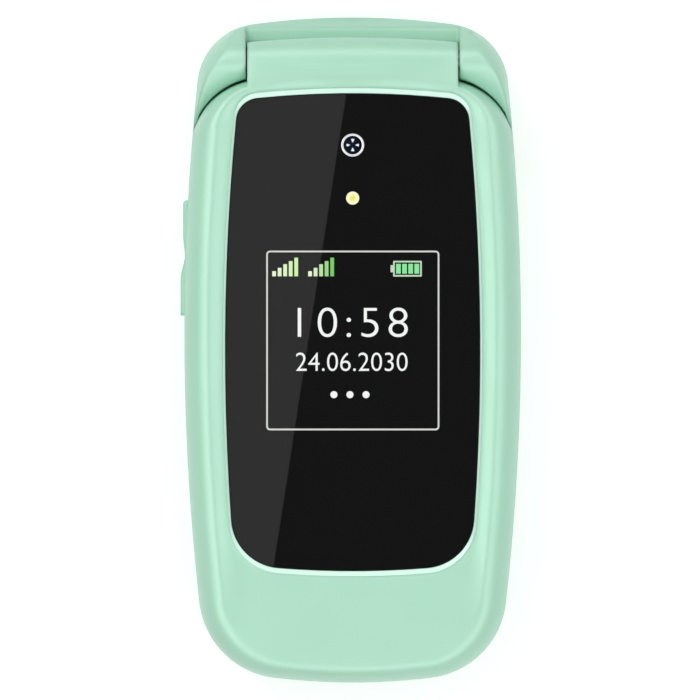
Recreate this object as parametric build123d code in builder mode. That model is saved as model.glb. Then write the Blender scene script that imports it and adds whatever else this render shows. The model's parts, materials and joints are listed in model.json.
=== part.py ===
from build123d import *
import math
import os

# A clamshell mobile phone, closed and lying on its back.
# X runs across the phone, Y towards the hinge end, Z up through the lid.
# The origin is the middle of the flat rear face. Sizes are in millimetres.

os.makedirs("parts", exist_ok=True)

# ---------------------------------------------------------------- outline
phone_length = 104.3
phone_width = 52.8
side_radius = 380.0  # the long sides are slightly bowed
widest_y = 2.6  # where the phone is widest, a little nearer to the hinge
top_crown = 2.4  # how far the hinge end is bowed
bottom_crown = 2.6
base_top_corner = 10.0
bottom_corner = 13.4
lid_end_inset = 9.6  # lid's hinge end, back from the end of the base
lid_end_crown = 0.3
lid_top_corner = 11.0

# ---------------------------------------------------------------- base, from the rear face up
cover_thickness = 1.2
cover_clearance = 0.15
cover_side_inset = 5.5
cover_inset = 8.0
cover_corner = 5.0
floor_wall = 1.0  # rear shell behind the battery cover
battery_thickness = 4.5
battery_width = 34.0
battery_top_inset = 34.5
battery_bottom_inset = 16.5
socket_height = 1.4
roof_wall = 0.8  # rear shell between battery and main board
board_thickness = 0.8
board_inset = 2.8
dome_sheet = 0.1
dome_height = 0.15
dome_radius = 2.2
mat_thickness = 0.3
key_travel = 0.4
stem_height = 0.65
stem_radius = 1.5
flange_height = 0.6
keypad_plate = 1.2
shell_wall = 1.3
rear_wall = 2.0  # thicker, because the rear edge is well rounded
bay_wall = 1.0
bay_gap = 0.3
battery_edge = 1.0
rear_edge_radius = 3.6
parting_radius = 0.5  # soft edge each side of the gap under the lid
seat_gap = 0.1  # play between pieces that rest on each other

# ---------------------------------------------------------------- lid, from its inner face up
bumper_height = 0.4
inner_lens_sunk = 0.15
inner_lens_thickness = 0.8
inner_ledge = 0.6
display_thickness = 1.9
lid_board_thickness = 0.7
outer_display_thickness = 1.5
web_thickness = 0.6  # shell behind the outer window
window_thickness = 0.8
window_sunk = 0.3  # window below the lip round it
lip_rise = 0.25
dish_depth = 0.7  # from the rim's crest down to the lip's foot
inner_shell_height = 2.0
lid_wall = 2.7
round_steps = 5  # bands that a rounded form is built from

# ---------------------------------------------------------------- hinge
hinge_inset = 6.7  # hinge axis, in from the end of the base
hinge_rise = 4.4  # hinge axis above the base's top face
barrel_radius = 3.5
barrel_end_radius = 2.75
barrel_length = 33.0
barrel_gap = 0.25  # round the barrel
bore_radius = 2.1
ear_radius = 2.9
ear_gap = 0.25
ear_front_angle = 33.0  # slope of the shoulder in front of an ear
corner_gap = 0.2  # between that shoulder and the lid's corner
strip_rise = 1.85  # strip behind the barrel, above the base's top face
shoulder_step = 0.06  # shoulder's foot, in from the side of the base
shoulder_inset = 3.4  # how far the shoulder is rounded in at its top
shoulder_over = 0.55  # that top, above the ears
shaft_radius = 1.5
shaft_flat = 0.5
running_gap = 0.05
cartridge_length = 14.0
bush_reach = 8.0
bush_bore = 1.3
ear_seat = 3.6  # how far shaft and bush reach into the ears

# ---------------------------------------------------------------- outer window
window_side_inset = 6.45
window_top_inset = 2.4
window_bottom_inset = 17.55
window_top_crown = 1.1
window_bottom_crown = 1.2
window_top_corner = 3.6
window_bottom_corner = 8.0
window_gap = 0.05
window_edge = 0.15
lip_side = 0.65  # lip's width beside the window
lip_end = 1.0
bevel_side = 0.35
bevel_end = 0.8
crest_inset = 3.8  # rim's crest, in from the side of the lid
crest_top_inset = 0.2
crest_top_crown = 2.4
crest_bottom = 2.7  # rim's crest, in from the bottom end of the lid
camera_inset = 8.1  # from the window's end
camera_ring_radius = 1.8
camera_ring_width = 0.35
camera_body = 8.0
camera_height = 3.4
camera_barrel = 2.8
camera_cone = 25.0
flash_inset = 16.4
flash_radius = 1.0
flash_package = 2.8
outer_display_inset = 38.7  # to the display's middle
outer_display_width = 31.0
outer_display_length = 33.0
outer_view_width = 26.5
outer_view_length = 27.5

# ---------------------------------------------------------------- inner side of the lid
inner_lens_side_inset = 4.6
inner_lens_top_inset = 14.0
inner_lens_bottom_inset = 18.4
inner_lens_corner = 3.0
inner_view_side = 2.8  # black margin of the inner window
inner_view_margin = 5.75
display_side = 0.6
display_margin = 2.0
earpiece_inset = 10.4
earpiece_width = 15.0
earpiece_length = 6.0
earpiece_height = 2.6
mesh_thickness = 0.2
motor_radius = 4.0
motor_height = 2.7
motor_x = 12.3
motor_inset = 9.6
magnet_length = 6.0
magnet_width = 2.5
magnet_thickness = 1.5
board_notch = 3.0
lid_screw_length = 3.6
bumper_radius = 1.4
bumper_seat = 0.4
bumper_x = 12.0
bumper_inset = 4.4

# ---------------------------------------------------------------- keypad
key_clearance = 0.25
key_proud = 0.05
key_edge = 0.35
flange_width = 0.45
keys_side_inset = 4.6
key_column_gap = 1.4
digit_corner = 2.2
digits_top_inset = 38.7
digits_bottom_inset = 14.3
key_row_gap = 1.8
nav_inset = 25.4
nav_radius = 9.4
nav_inner_radius = 4.9
ok_radius = 4.3
menu_key_gap = 3.4  # between the ring and the keys beside it
menu_key_height = 7.0
menu_key_corner = 1.8
menu_key_shift = 5.0  # soft keys above, call keys below the ring's middle
nav_mark = 0.9
nav_mark_depth = 0.15
nav_flange_height = 0.4  # leaves the ring room to rock
ok_flange_width = 1.0
ok_flange_height = 0.2
nav_pad_width = 2.4
nav_pad_height = 0.5
nav_rib_width = 1.0
mat_edge = 1.1
mat_gap = 0.27  # beside the rocker's switches

# ---------------------------------------------------------------- side key, sockets, screws
rocker_length = 18.1
rocker_height = 2.1
rocker_inset = 37.7
rocker_proud = 0.8
rocker_step = 0.4  # upper end, in from the lower end
rocker_waist = 0.65
rocker_waist_reach = 3.7  # along the rocker, each way from its middle
rocker_flange = 0.7
rocker_gap = 0.35  # lets the rocker tip behind the bowed wall
switch_offset = 5.5
switch_depth = 1.3
switch_length = 3.4
switch_height = 1.1
screw_radius = 0.8
screw_head_radius = 1.6
screw_head_height = 0.8
boss_radius = 2.2
boss_top_side = 7.4
boss_top_inset = 12.0
boss_bottom_side = 9.4
boss_bottom_inset = 10.0
lid_boss_top_side = 6.9
lid_boss_top_inset = 9.4
lid_boss_bottom_side = 7.2
lid_boss_bottom_inset = 11.4
cap_thickness = 0.5
usb_width = 7.6
usb_height = 2.5
usb_depth = 5.4
jack_bore = 1.8
jack_body = 5.0
jack_nose = 2.3  # radius of the jack where it fills the wall
jack_length = 12.0
jack_inset = 22.5
speaker_width = 20.0
speaker_length = 9.0
speaker_height = 3.2
speaker_inset = 13.0
slot_width = 1.0
speaker_slots = 7
grip_inset = 26.0
grip_width = 12.0
grip_count = 5
grip_depth = 0.3
microphone_inset = 7.4
microphone_radius = 2.0
microphone_hole = 0.5
socket_shift = 7.0  # cards, towards the hinge from the battery's middle
socket_length = 15.0
socket_width = 12.0
card_slot = 0.8
contact_width = 12.0
contact_length = 3.0
contact_pitch = 4.0
contact_blade = 1.2
contact_reach = 1.2
can_x = -5.0
can_gap = 1.2
can_width = 28.0
can_height = 1.7
can_wall = 0.25
antenna_inset = 10.4
antenna_width = 26.0
antenna_length = 6.0
usb_tongue_width = 4.0
usb_tongue = 0.6
jack_corner = 0.6
case_screw_length = 8.4

# ---------------------------------------------------------------- levels that follow
z_recess = cover_thickness + cover_clearance
z_floor = z_recess + floor_wall
z_battery = z_recess + seat_gap
z_roof = z_battery + battery_thickness + seat_gap + socket_height - roof_wall
z_split = z_roof + roof_wall
z_dome = z_split + board_thickness
z_mat = z_dome + dome_sheet + dome_height
z_stem = z_mat + mat_thickness + key_travel + seat_gap
z_flange = z_stem + stem_height
z_plate = z_flange + flange_height + seat_gap
base_top = z_plate + keypad_plate
z_lid = base_top + bumper_height
z_inner_lens = z_lid + inner_lens_sunk
z_ledge = z_inner_lens + inner_lens_thickness
z_display = z_ledge + inner_ledge
z_lid_split = z_lid + inner_shell_height
z_lid_board = z_display + display_thickness
z_outer_display = z_lid_board + lid_board_thickness
z_web = z_outer_display + outer_display_thickness
z_window = z_web + web_thickness
window_face = z_window + window_thickness
lip_top = window_face + window_sunk
lip_foot = lip_top - lip_rise
lid_top = lip_foot + dish_depth

half_length = phone_length / 2
half_width = phone_width / 2
hinge_y = half_length - hinge_inset
hinge_z = base_top + hinge_rise
lid_end = half_length - lid_end_inset
barrel_half = barrel_length / 2
ear_x = barrel_half + ear_gap
hinge_plane = Plane(origin=(0, hinge_y, hinge_z), x_dir=(1, 0, 0), z_dir=(0, -1, 0))
hinge_axis = Axis((0, hinge_y, hinge_z), (-1, 0, 0))  # the lid opens by turning about it
sides = (-1, 1)

# ---------------------------------------------------------------- places that follow, along the phone
battery_top = half_length - battery_top_inset
battery_bottom = battery_bottom_inset - half_length
battery_length = battery_top - battery_bottom
battery_y = (battery_top + battery_bottom) / 2
window_top = lid_end - window_top_inset
window_bottom = window_bottom_inset - half_length
crest_top = lid_end - crest_top_inset
camera_y = window_top - camera_inset
flash_y = window_top - flash_inset
outer_display_y = window_top - outer_display_inset
inner_lens_top = lid_end - inner_lens_top_inset
inner_lens_bottom = inner_lens_bottom_inset - half_length
inner_lens_length = inner_lens_top - inner_lens_bottom
inner_lens_y = (inner_lens_top + inner_lens_bottom) / 2
inner_view_length = inner_lens_length - 2 * inner_view_margin
display_length = inner_lens_length - 2 * display_margin
earpiece_y = earpiece_inset - half_length
motor_y = motor_inset - half_length
bumper_y = bumper_inset - half_length
digits_top = half_length - digits_top_inset
digits_bottom = digits_bottom_inset - half_length
digit_pitch_y = (digits_top - digits_bottom + key_row_gap) / 4
digit_height = digit_pitch_y - key_row_gap
digit_top_row = digits_top - digit_height / 2
nav_centre_y = half_length - nav_inset
soft_key_y = nav_centre_y + menu_key_shift
call_key_y = nav_centre_y - menu_key_shift
mat_top = soft_key_y + menu_key_height / 2 + mat_edge
mat_bottom = digits_bottom - mat_edge
rocker_y = half_length - rocker_inset
jack_y = half_length - jack_inset
speaker_y = half_length - speaker_inset
grip_y = half_length - grip_inset
cover_top = half_length - cover_inset
microphone_y = microphone_inset - half_length
antenna_y = antenna_inset - half_length
socket_y = battery_y + socket_shift
contact_y = battery_top + bay_gap + bay_wall + contact_length / 2
contact_blade_length = bay_wall + bay_gap + contact_reach - seat_gap
can_bottom = contact_y + contact_length / 2 + can_gap
can_top = speaker_y - speaker_length / 2 - can_gap
can_length = can_top - can_bottom
can_y = (can_top + can_bottom) / 2


def side_at(half, y, widest=widest_y):
    """Half width of a bowed outline at a place along the phone."""
    return half - side_radius + math.sqrt(side_radius**2 - (y - widest) ** 2)


# ---------------------------------------------------------------- places that follow, across the phone
cover_half_width = half_width - cover_side_inset
window_half_width = half_width - window_side_inset
inner_lens_width = 2 * (half_width - inner_lens_side_inset)
inner_view_width = inner_lens_width - 2 * inner_view_side
display_width = inner_lens_width - 2 * display_side
keys_side = half_width - keys_side_inset
digit_pitch_x = (2 * keys_side + key_column_gap) / 3
digit_width = digit_pitch_x - key_column_gap
menu_key_width = keys_side - nav_radius - menu_key_gap
menu_key_x = keys_side - menu_key_width / 2
rocker_side = -side_at(half_width, rocker_y)
rocker_face = rocker_side - rocker_proud
rocker_low = rocker_y - rocker_length / 2
rocker_high = rocker_y + rocker_length / 2
rocker_inner = rocker_gap - side_at(half_width - shell_wall, rocker_high)
switch_face = rocker_inner + 2 * rocker_flange + key_clearance
mat_width = -2 * (switch_face + switch_depth + mat_gap)


def level(z):
    """Horizontal sketch plane at a height."""
    return Plane.XY.offset(z)


def across(x, y=0.0, z=0.0):
    """Sketch plane square to X, with local x along Y and local y up."""
    return Plane(origin=(x, y, z), x_dir=(0, 1, 0), z_dir=(1, 0, 0))


def bowed_outline(half, top, bottom, crowns, corners, widest=widest_y):
    """Face with bowed long sides, crowned ends and round corners."""
    top_y = top - crowns[0]
    bottom_y = bottom + crowns[1]
    top_x = side_at(half, top_y, widest)
    bottom_x = side_at(half, bottom_y, widest)
    middle = (top_y + bottom_y) / 2
    middle_x = side_at(half, middle, widest)
    with BuildSketch() as face:
        with BuildLine():
            ThreePointArc((top_x, top_y), (0, top), (-top_x, top_y))
            ThreePointArc((-top_x, top_y), (-middle_x, middle), (-bottom_x, bottom_y))
            ThreePointArc((-bottom_x, bottom_y), (0, bottom), (bottom_x, bottom_y))
            ThreePointArc((bottom_x, bottom_y), (middle_x, middle), (top_x, top_y))
        make_face()
        fillet(face.vertices().sort_by(Axis.Y)[-2:], corners[0])
        fillet(face.vertices().sort_by(Axis.Y)[:2], corners[1])
    return face.sketch


def base_plan(inset):
    """Outline of the base, drawn in by a wall's thickness."""
    return bowed_outline(
        half_width - inset,
        half_length - inset,
        -half_length + inset,
        (top_crown, bottom_crown),
        (base_top_corner - inset, bottom_corner - inset),
    )


def lid_plan(inset):
    """Outline of the lid, drawn in by a wall's thickness, or out if it is negative."""
    return bowed_outline(
        half_width - inset,
        lid_end - inset,
        -half_length + inset,
        (lid_end_crown, bottom_crown),
        (lid_top_corner - inset, bottom_corner - inset),
    )


def four_places(near, far):
    """Two pairs of places, mirrored about the middle of the phone."""
    return [(side * place[0], place[1]) for place in (near, far) for side in sides]


def lid_section(share):
    """Outline of the lid, drawn in by a share of the way from its side to the rim's crest."""
    return bowed_outline(
        half_width - share * crest_inset,
        lid_end - share * crest_top_inset,
        -half_length + share * crest_bottom,
        (lid_end_crown + share * (crest_top_crown - lid_end_crown), bottom_crown),
        (lid_top_corner - share * crest_inset, bottom_corner - share * crest_bottom),
    )


base_outline = base_plan(0)
crest_outline = lid_section(1)
# A quarter of an ellipse in steps: how far it is drawn in, and how high it has risen.
quarter_turns = [math.pi / 2 * step / round_steps for step in range(round_steps + 1)]
quarter_round = [(1 - math.cos(turn), math.sin(turn)) for turn in quarter_turns]


def window_shape(side, end):
    """Outline of the outer window, grown at its sides and at its ends."""
    return bowed_outline(
        window_half_width + side,
        window_top + end,
        window_bottom - end,
        (window_top_crown, window_bottom_crown),
        (window_top_corner + side, window_bottom_corner + side),
        widest=0,
    )


window_outline = window_shape(0, 0)
lid_bosses = four_places(
    (half_width - lid_boss_top_side, lid_end - lid_boss_top_inset),
    (half_width - lid_boss_bottom_side, lid_boss_bottom_inset - half_length),
)
base_bosses = four_places(
    (half_width - boss_top_side, half_length - boss_top_inset),
    (half_width - boss_bottom_side, boss_bottom_inset - half_length),
)
bumper_places = [(side * bumper_x, bumper_y) for side in sides]

# ---------------------------------------------------------------- lid form
# The closed outer form of the lid, well rounded from its sides up to the rim's crest.
lid_round_foot = z_lid + parting_radius
with BuildPart() as lid_form:
    with BuildSketch(level(z_lid)):
        add(lid_plan(parting_radius))
    for share, rise in quarter_round:
        with BuildSketch(level(lid_round_foot + rise * (lid_top - lid_round_foot))):
            add(lid_section(share))
    loft(ruled=True)

# ---------------------------------------------------------------- lid's outer shell
tongue_foot = z_lid_split
tongue_start = lid_end - lid_wall
with BuildPart() as lid_outer_shell:
    add(lid_form.part)
    split(bisect_by=level(z_lid_split), keep=Keep.TOP)
    # Arm that carries the hinge barrel, with its crest at the level of the rim.
    with BuildSketch(across(-barrel_half)):
        with BuildLine():
            Polyline(
                (tongue_start, tongue_foot),
                (tongue_start, lid_top),
                (crest_top, lid_top),
                (hinge_y, hinge_z + barrel_end_radius),
                (hinge_y, hinge_z),
                (hinge_y - barrel_end_radius / 2, tongue_foot),
                close=True,
            )
        make_face()
    extrude(amount=barrel_length)
    # Hinge barrel, a little fuller in the middle.
    with BuildSketch(hinge_plane):
        with BuildLine():
            ThreePointArc(
                (-barrel_half, barrel_end_radius), (0, barrel_radius), (barrel_half, barrel_end_radius)
            )
            Polyline(
                (barrel_half, barrel_end_radius),
                (barrel_half, 0),
                (-barrel_half, 0),
                (-barrel_half, barrel_end_radius),
            )
        make_face()
    revolve(axis=hinge_axis)
    # Dished surround, from the rim's crest down to the window's lip.
    with BuildSketch(level(lid_top)):
        add(crest_outline)
    with BuildSketch(level(lip_foot)):
        add(window_shape(lip_side, lip_end))
    loft(ruled=True, mode=Mode.SUBTRACT)
    # Lip round the window, with a bevel on its inner edge.
    with BuildSketch(level(lip_foot)):
        add(window_shape(lip_side, lip_end))
    with BuildSketch(level(lip_top)):
        add(window_shape(bevel_side, bevel_end))
    loft(ruled=True)
    with BuildSketch(level(lip_top)):
        add(window_shape(bevel_side, bevel_end))
    with BuildSketch(level(window_face)):
        add(window_shape(window_gap, window_gap))
    loft(ruled=True, mode=Mode.SUBTRACT)
    # Recess that the window is glued into.
    with BuildSketch(level(z_window)):
        add(window_shape(window_gap, window_gap))
    extrude(amount=window_thickness, mode=Mode.SUBTRACT)
    # Hollow for the displays and boards.
    with BuildSketch(level(z_lid_split)):
        add(lid_plan(lid_wall))
    extrude(amount=z_web - z_lid_split, mode=Mode.SUBTRACT)
    # Bosses for the screws that hold the inner shell.
    with BuildSketch(level(z_lid_split)):
        with Locations(*lid_bosses):
            Circle(boss_radius)
    extrude(amount=z_web - z_lid_split)
    with BuildSketch(level(z_lid_split)):
        with Locations(*lid_bosses):
            Circle(screw_radius)
    extrude(amount=z_web - z_lid_split - seat_gap, mode=Mode.SUBTRACT)
    # Openings in the web behind the window.
    with BuildSketch(level(z_web)):
        with Locations((0, outer_display_y)):
            RectangleRounded(outer_view_width, outer_view_length, cover_clearance)
        with Locations((0, camera_y)):
            Circle(camera_barrel + cover_clearance)
        with Locations((0, flash_y)):
            Circle(flash_radius + cover_clearance)
    extrude(amount=web_thickness, mode=Mode.SUBTRACT)
    # Bore for the hinge cartridge and bush.
    with BuildSketch(Plane(origin=(-barrel_half, hinge_y, hinge_z), z_dir=(1, 0, 0))):
        Circle(bore_radius)
    extrude(amount=barrel_length, mode=Mode.SUBTRACT)
lid_outer_shell.part.label = "lid_outer_shell"
export_step(lid_outer_shell.part, "parts/lid_outer_shell.step")

# ---------------------------------------------------------------- lid's inner shell
with BuildPart() as lid_inner_shell:
    add(lid_form.part)
    split(bisect_by=level(z_lid_split), keep=Keep.BOTTOM)
    with BuildSketch(level(z_display)):
        add(lid_plan(lid_wall))
    extrude(amount=inner_shell_height, mode=Mode.SUBTRACT)
    # Stepped opening: the lens sits on a ledge, the display looks through it.
    with BuildSketch(level(z_lid)):
        with Locations((0, inner_lens_y)):
            RectangleRounded(
                inner_lens_width + 2 * window_gap, inner_lens_length + 2 * window_gap, inner_lens_corner
            )
    extrude(amount=z_ledge - z_lid, mode=Mode.SUBTRACT)
    with BuildSketch(level(z_lid)):
        with Locations((0, inner_lens_y)):
            Rectangle(inner_view_width, inner_view_length)
    extrude(amount=z_display - z_lid, mode=Mode.SUBTRACT)
    # Earpiece slots.
    with BuildSketch(level(z_lid)):
        with Locations((0, earpiece_y)):
            with GridLocations(2.5 * slot_width, 0, 5, 1):
                SlotOverall(earpiece_length / 2, slot_width, rotation=90)
    extrude(amount=z_display - z_lid, mode=Mode.SUBTRACT)
    # Screw holes, each with a seat for the head and its cap.
    with BuildSketch(level(z_lid)):
        with Locations(*lid_bosses):
            Circle(screw_head_radius + seat_gap)
    extrude(amount=cap_thickness + screw_head_height - seat_gap, mode=Mode.SUBTRACT)
    with BuildSketch(level(z_lid)):
        with Locations(*lid_bosses):
            Circle(screw_radius + running_gap)
    extrude(amount=inner_shell_height, mode=Mode.SUBTRACT)
    # Rings that carry those seats up to the outer shell's bosses.
    with BuildSketch(level(z_display)):
        with Locations(*lid_bosses):
            Circle(boss_radius)
        with Locations(*lid_bosses):
            Circle(screw_radius + running_gap, mode=Mode.SUBTRACT)
    extrude(amount=z_lid_split - z_display)
    # Seats for the rubber bumpers.
    with BuildSketch(level(z_lid)):
        with Locations(*bumper_places):
            Circle(bumper_radius + running_gap)
    extrude(amount=bumper_seat, mode=Mode.SUBTRACT)
lid_inner_shell.part.label = "lid_inner_shell"
export_step(lid_inner_shell.part, "parts/lid_inner_shell.step")

# ---------------------------------------------------------------- outer window and what shows in it
with BuildPart() as outer_window:
    with BuildSketch(level(z_window)):
        add(window_outline)
        with Locations((0, camera_y)):
            Circle(camera_ring_radius + running_gap, mode=Mode.SUBTRACT)
        with Locations((0, flash_y)):
            Circle(flash_radius + running_gap, mode=Mode.SUBTRACT)
    extrude(amount=window_thickness)
    rim = outer_window.faces().sort_by(Axis.Z)[-1].outer_wire().edges()
    chamfer(rim, window_edge)
outer_window.part.label = "outer_window"
export_step(outer_window.part, "parts/outer_window.step")

with BuildPart() as outer_display:
    with BuildSketch(level(z_outer_display)):
        with Locations((0, outer_display_y)):
            Rectangle(outer_display_width, outer_display_length)
    extrude(amount=outer_display_thickness)
    # Glass of the panel, raised into the shell's opening.
    with BuildSketch(level(z_web)):
        with Locations((0, outer_display_y)):
            Rectangle(outer_view_width - 2 * seat_gap, outer_view_length - 2 * seat_gap)
    extrude(amount=web_thickness)
outer_display.part.label = "outer_display"
export_step(outer_display.part, "parts/outer_display.step")

with BuildPart() as camera_ring:
    with BuildSketch(level(z_window)):
        with Locations((0, camera_y)):
            Circle(camera_ring_radius)
            Circle(camera_ring_radius - camera_ring_width, mode=Mode.SUBTRACT)
    extrude(amount=window_thickness + running_gap)
    chamfer(camera_ring.faces().sort_by(Axis.Z)[-1].edges(), running_gap)
camera_ring.part.label = "camera_ring"
export_step(camera_ring.part, "parts/camera_ring.step")

with BuildPart() as camera_lens:
    with BuildSketch(level(z_window)):
        with Locations((0, camera_y)):
            Circle(camera_ring_radius - camera_ring_width)
    extrude(amount=window_thickness - seat_gap)
camera_lens.part.label = "camera_lens"
export_step(camera_lens.part, "parts/camera_lens.step")

with BuildPart() as camera_module:
    with BuildSketch(level(z_web - camera_height)):
        with Locations((0, camera_y)):
            RectangleRounded(camera_body, camera_body, seat_gap)
    extrude(amount=camera_height)
    with BuildSketch(level(z_web)):
        with Locations((0, camera_y)):
            Circle(camera_barrel)
    extrude(amount=web_thickness)
    with BuildSketch(level(z_window)):
        with Locations((0, camera_y)):
            Circle(camera_ring_radius - 2 * camera_ring_width)
    extrude(amount=-web_thickness, taper=camera_cone, mode=Mode.SUBTRACT)
camera_module.part.label = "camera_module"
export_step(camera_module.part, "parts/camera_module.step")

with BuildPart() as flash_led:
    with BuildSketch(level(z_lid_board + lid_board_thickness)):
        with Locations((0, flash_y)):
            Rectangle(flash_package, flash_package)
    extrude(amount=outer_display_thickness)
    with BuildSketch(level(z_web)):
        with Locations((0, flash_y)):
            Circle(flash_radius)
    extrude(amount=web_thickness + window_thickness)
flash_led.part.label = "flash_led"
export_step(flash_led.part, "parts/flash_led.step")

# ---------------------------------------------------------------- inner window and display
with BuildPart() as inner_window:
    with BuildSketch(level(z_inner_lens)):
        with Locations((0, inner_lens_y)):
            RectangleRounded(inner_lens_width, inner_lens_length, inner_lens_corner)
    extrude(amount=inner_lens_thickness)
    chamfer(inner_window.faces().sort_by(Axis.Z)[0].edges(), window_edge)
inner_window.part.label = "inner_window"
export_step(inner_window.part, "parts/inner_window.step")

with BuildPart() as main_display:
    with BuildSketch(level(z_display)):
        with Locations((0, inner_lens_y)):
            Rectangle(display_width, display_length)
    extrude(amount=display_thickness)
    with BuildSketch(level(z_ledge)):
        with Locations((0, inner_lens_y)):
            Rectangle(inner_view_width - 2 * seat_gap, inner_view_length - 2 * seat_gap)
    extrude(amount=inner_ledge)
main_display.part.label = "main_display"
export_step(main_display.part, "parts/main_display.step")

# ---------------------------------------------------------------- inside the lid
with BuildPart() as lid_board:
    with BuildSketch(level(z_lid_board)) as board_shape:
        with Locations((0, inner_lens_y)):
            Rectangle(display_width - 2 * seat_gap, display_length)
        chamfer(board_shape.vertices(), board_notch)
    extrude(amount=lid_board_thickness)
lid_board.part.label = "lid_board"
export_step(lid_board.part, "parts/lid_board.step")

with BuildPart() as earpiece_mesh:
    with BuildSketch(level(z_display)):
        with Locations((0, earpiece_y)):
            RectangleRounded(earpiece_width, earpiece_length, slot_width)
    extrude(amount=mesh_thickness)
earpiece_mesh.part.label = "earpiece_mesh"
export_step(earpiece_mesh.part, "parts/earpiece_mesh.step")

with BuildPart() as earpiece_speaker:
    with BuildSketch(level(z_display + mesh_thickness)):
        with Locations((0, earpiece_y)):
            RectangleRounded(earpiece_width, earpiece_length, slot_width)
    extrude(amount=earpiece_height)
    chamfer(earpiece_speaker.faces().sort_by(Axis.Z)[-1].edges(), window_edge)
earpiece_speaker.part.label = "earpiece_speaker"
export_step(earpiece_speaker.part, "parts/earpiece_speaker.step")

with BuildPart() as vibration_motor:
    with BuildSketch(level(z_display)):
        with Locations((-motor_x, motor_y)):
            Circle(motor_radius)
    extrude(amount=motor_height)
vibration_motor.part.label = "vibration_motor"
export_step(vibration_motor.part, "parts/vibration_motor.step")

with BuildPart() as closing_magnet:
    with BuildSketch(level(z_display)):
        with Locations((motor_x, motor_y)):
            Rectangle(magnet_length, magnet_width)
    extrude(amount=magnet_thickness)
closing_magnet.part.label = "closing_magnet"
export_step(closing_magnet.part, "parts/closing_magnet.step")

with BuildPart() as lid_bumpers:
    with BuildSketch(level(z_lid + bumper_seat)):
        with Locations(*bumper_places):
            Circle(bumper_radius)
    extrude(amount=-(bumper_seat + bumper_height - seat_gap))
    chamfer(lid_bumpers.edges().group_by(Axis.Z)[0], seat_gap)
lid_bumpers.part.label = "lid_bumpers"
export_step(lid_bumpers.part, "parts/lid_bumpers.step")

with BuildPart() as lid_screws:
    with BuildSketch(level(z_lid + cap_thickness)):
        with Locations(*lid_bosses):
            Circle(screw_head_radius)
    extrude(amount=screw_head_height - seat_gap)
    with BuildSketch(level(z_lid + cap_thickness)):
        with Locations(*lid_bosses):
            Circle(screw_radius)
    extrude(amount=lid_screw_length)
    with BuildSketch(level(z_lid + cap_thickness)):
        with Locations(*lid_bosses):
            RegularPolygon(screw_radius, 6)
    extrude(amount=screw_head_height / 2, mode=Mode.SUBTRACT)
lid_screws.part.label = "lid_screws"
export_step(lid_screws.part, "parts/lid_screws.step")

with BuildPart() as screw_caps:
    with BuildSketch(level(z_lid + running_gap)):
        with Locations(*lid_bosses):
            Circle(screw_head_radius + running_gap)
    extrude(amount=cap_thickness - running_gap)
screw_caps.part.label = "screw_caps"
export_step(screw_caps.part, "parts/screw_caps.step")

# ---------------------------------------------------------------- hinge
# Spring cartridge in the barrel; its cam turns on the shaft keyed into the right ear.
with BuildPart() as hinge_cartridge:
    with BuildSketch(across(barrel_half, hinge_y, hinge_z)):
        Circle(bore_radius)
    extrude(amount=-cartridge_length)
    with BuildSketch(across(barrel_half, hinge_y, hinge_z)):
        Circle(shaft_radius + running_gap)
    extrude(amount=-(cartridge_length - shell_wall), mode=Mode.SUBTRACT)
hinge_cartridge.part.label = "hinge_cartridge"
export_step(hinge_cartridge.part, "parts/hinge_cartridge.step")

with BuildPart() as hinge_shaft:
    with BuildSketch(across(ear_x + ear_seat, hinge_y, hinge_z)):
        Circle(shaft_radius)
    extrude(amount=-(ear_seat + ear_gap + cartridge_length - shell_wall - seat_gap))
    # Flats that key it into the ear.
    with BuildSketch(across(ear_x + ear_seat, hinge_y, hinge_z)):
        with Locations((0, shaft_radius), (0, -shaft_radius)):
            Rectangle(2 * shaft_radius, 2 * shaft_flat)
    extrude(amount=-ear_seat, mode=Mode.SUBTRACT)
hinge_shaft.part.label = "hinge_shaft"
export_step(hinge_shaft.part, "parts/hinge_shaft.step")

# Hollow bush in the left ear, which leads the flat cable from base to lid.
with BuildPart() as hinge_bush:
    with BuildSketch(across(-ear_x - ear_seat, hinge_y, hinge_z)):
        Circle(bore_radius - running_gap)
        Circle(bush_bore, mode=Mode.SUBTRACT)
    extrude(amount=ear_seat + ear_gap + bush_reach)
hinge_bush.part.label = "hinge_bush"
export_step(hinge_bush.part, "parts/hinge_bush.step")

# ---------------------------------------------------------------- sockets' places
usb_plane = Plane(
    origin=(0, -half_length + shell_wall, z_split - usb_height / 2), x_dir=(1, 0, 0), z_dir=(0, -1, 0)
)
jack_plane = across(side_at(half_width, jack_y) - seat_gap, jack_y, z_split - jack_body / 2)
with BuildPart() as socket_mouths:
    with BuildSketch(usb_plane.offset(-usb_depth)):
        SlotOverall(usb_width + 2 * seat_gap, usb_height + 2 * seat_gap)
    extrude(amount=usb_depth + 2 * shell_wall)
    with BuildSketch(jack_plane.offset(-shell_wall - rear_wall)):
        Circle(jack_nose + seat_gap)
    extrude(amount=2 * shell_wall + rear_wall)

# ---------------------------------------------------------------- keypad shell
# Each key is a name, the place of its middle, its size and its corner radius.
digit_names = ("1", "2", "3", "4", "5", "6", "7", "8", "9", "star", "0", "hash")
digit_keys = [
    (
        name,
        ((index % 3 - 1) * digit_pitch_x, digit_top_row - index // 3 * digit_pitch_y),
        (digit_width, digit_height),
        digit_corner,
    )
    for index, name in enumerate(digit_names)
]
menu_keys = [
    (name, (side * menu_key_x, y), (menu_key_width, menu_key_height), menu_key_corner)
    for name, side, y in (
        ("soft_left", -1, soft_key_y),
        ("soft_right", 1, soft_key_y),
        ("call", -1, call_key_y),
        ("end", 1, call_key_y),
    )
]
pressed_keys = digit_keys + menu_keys
nav_centre = (0, nav_centre_y)
nav_pad_radius = ok_radius + ok_flange_width + key_clearance
key_top = base_top + key_proud

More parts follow.
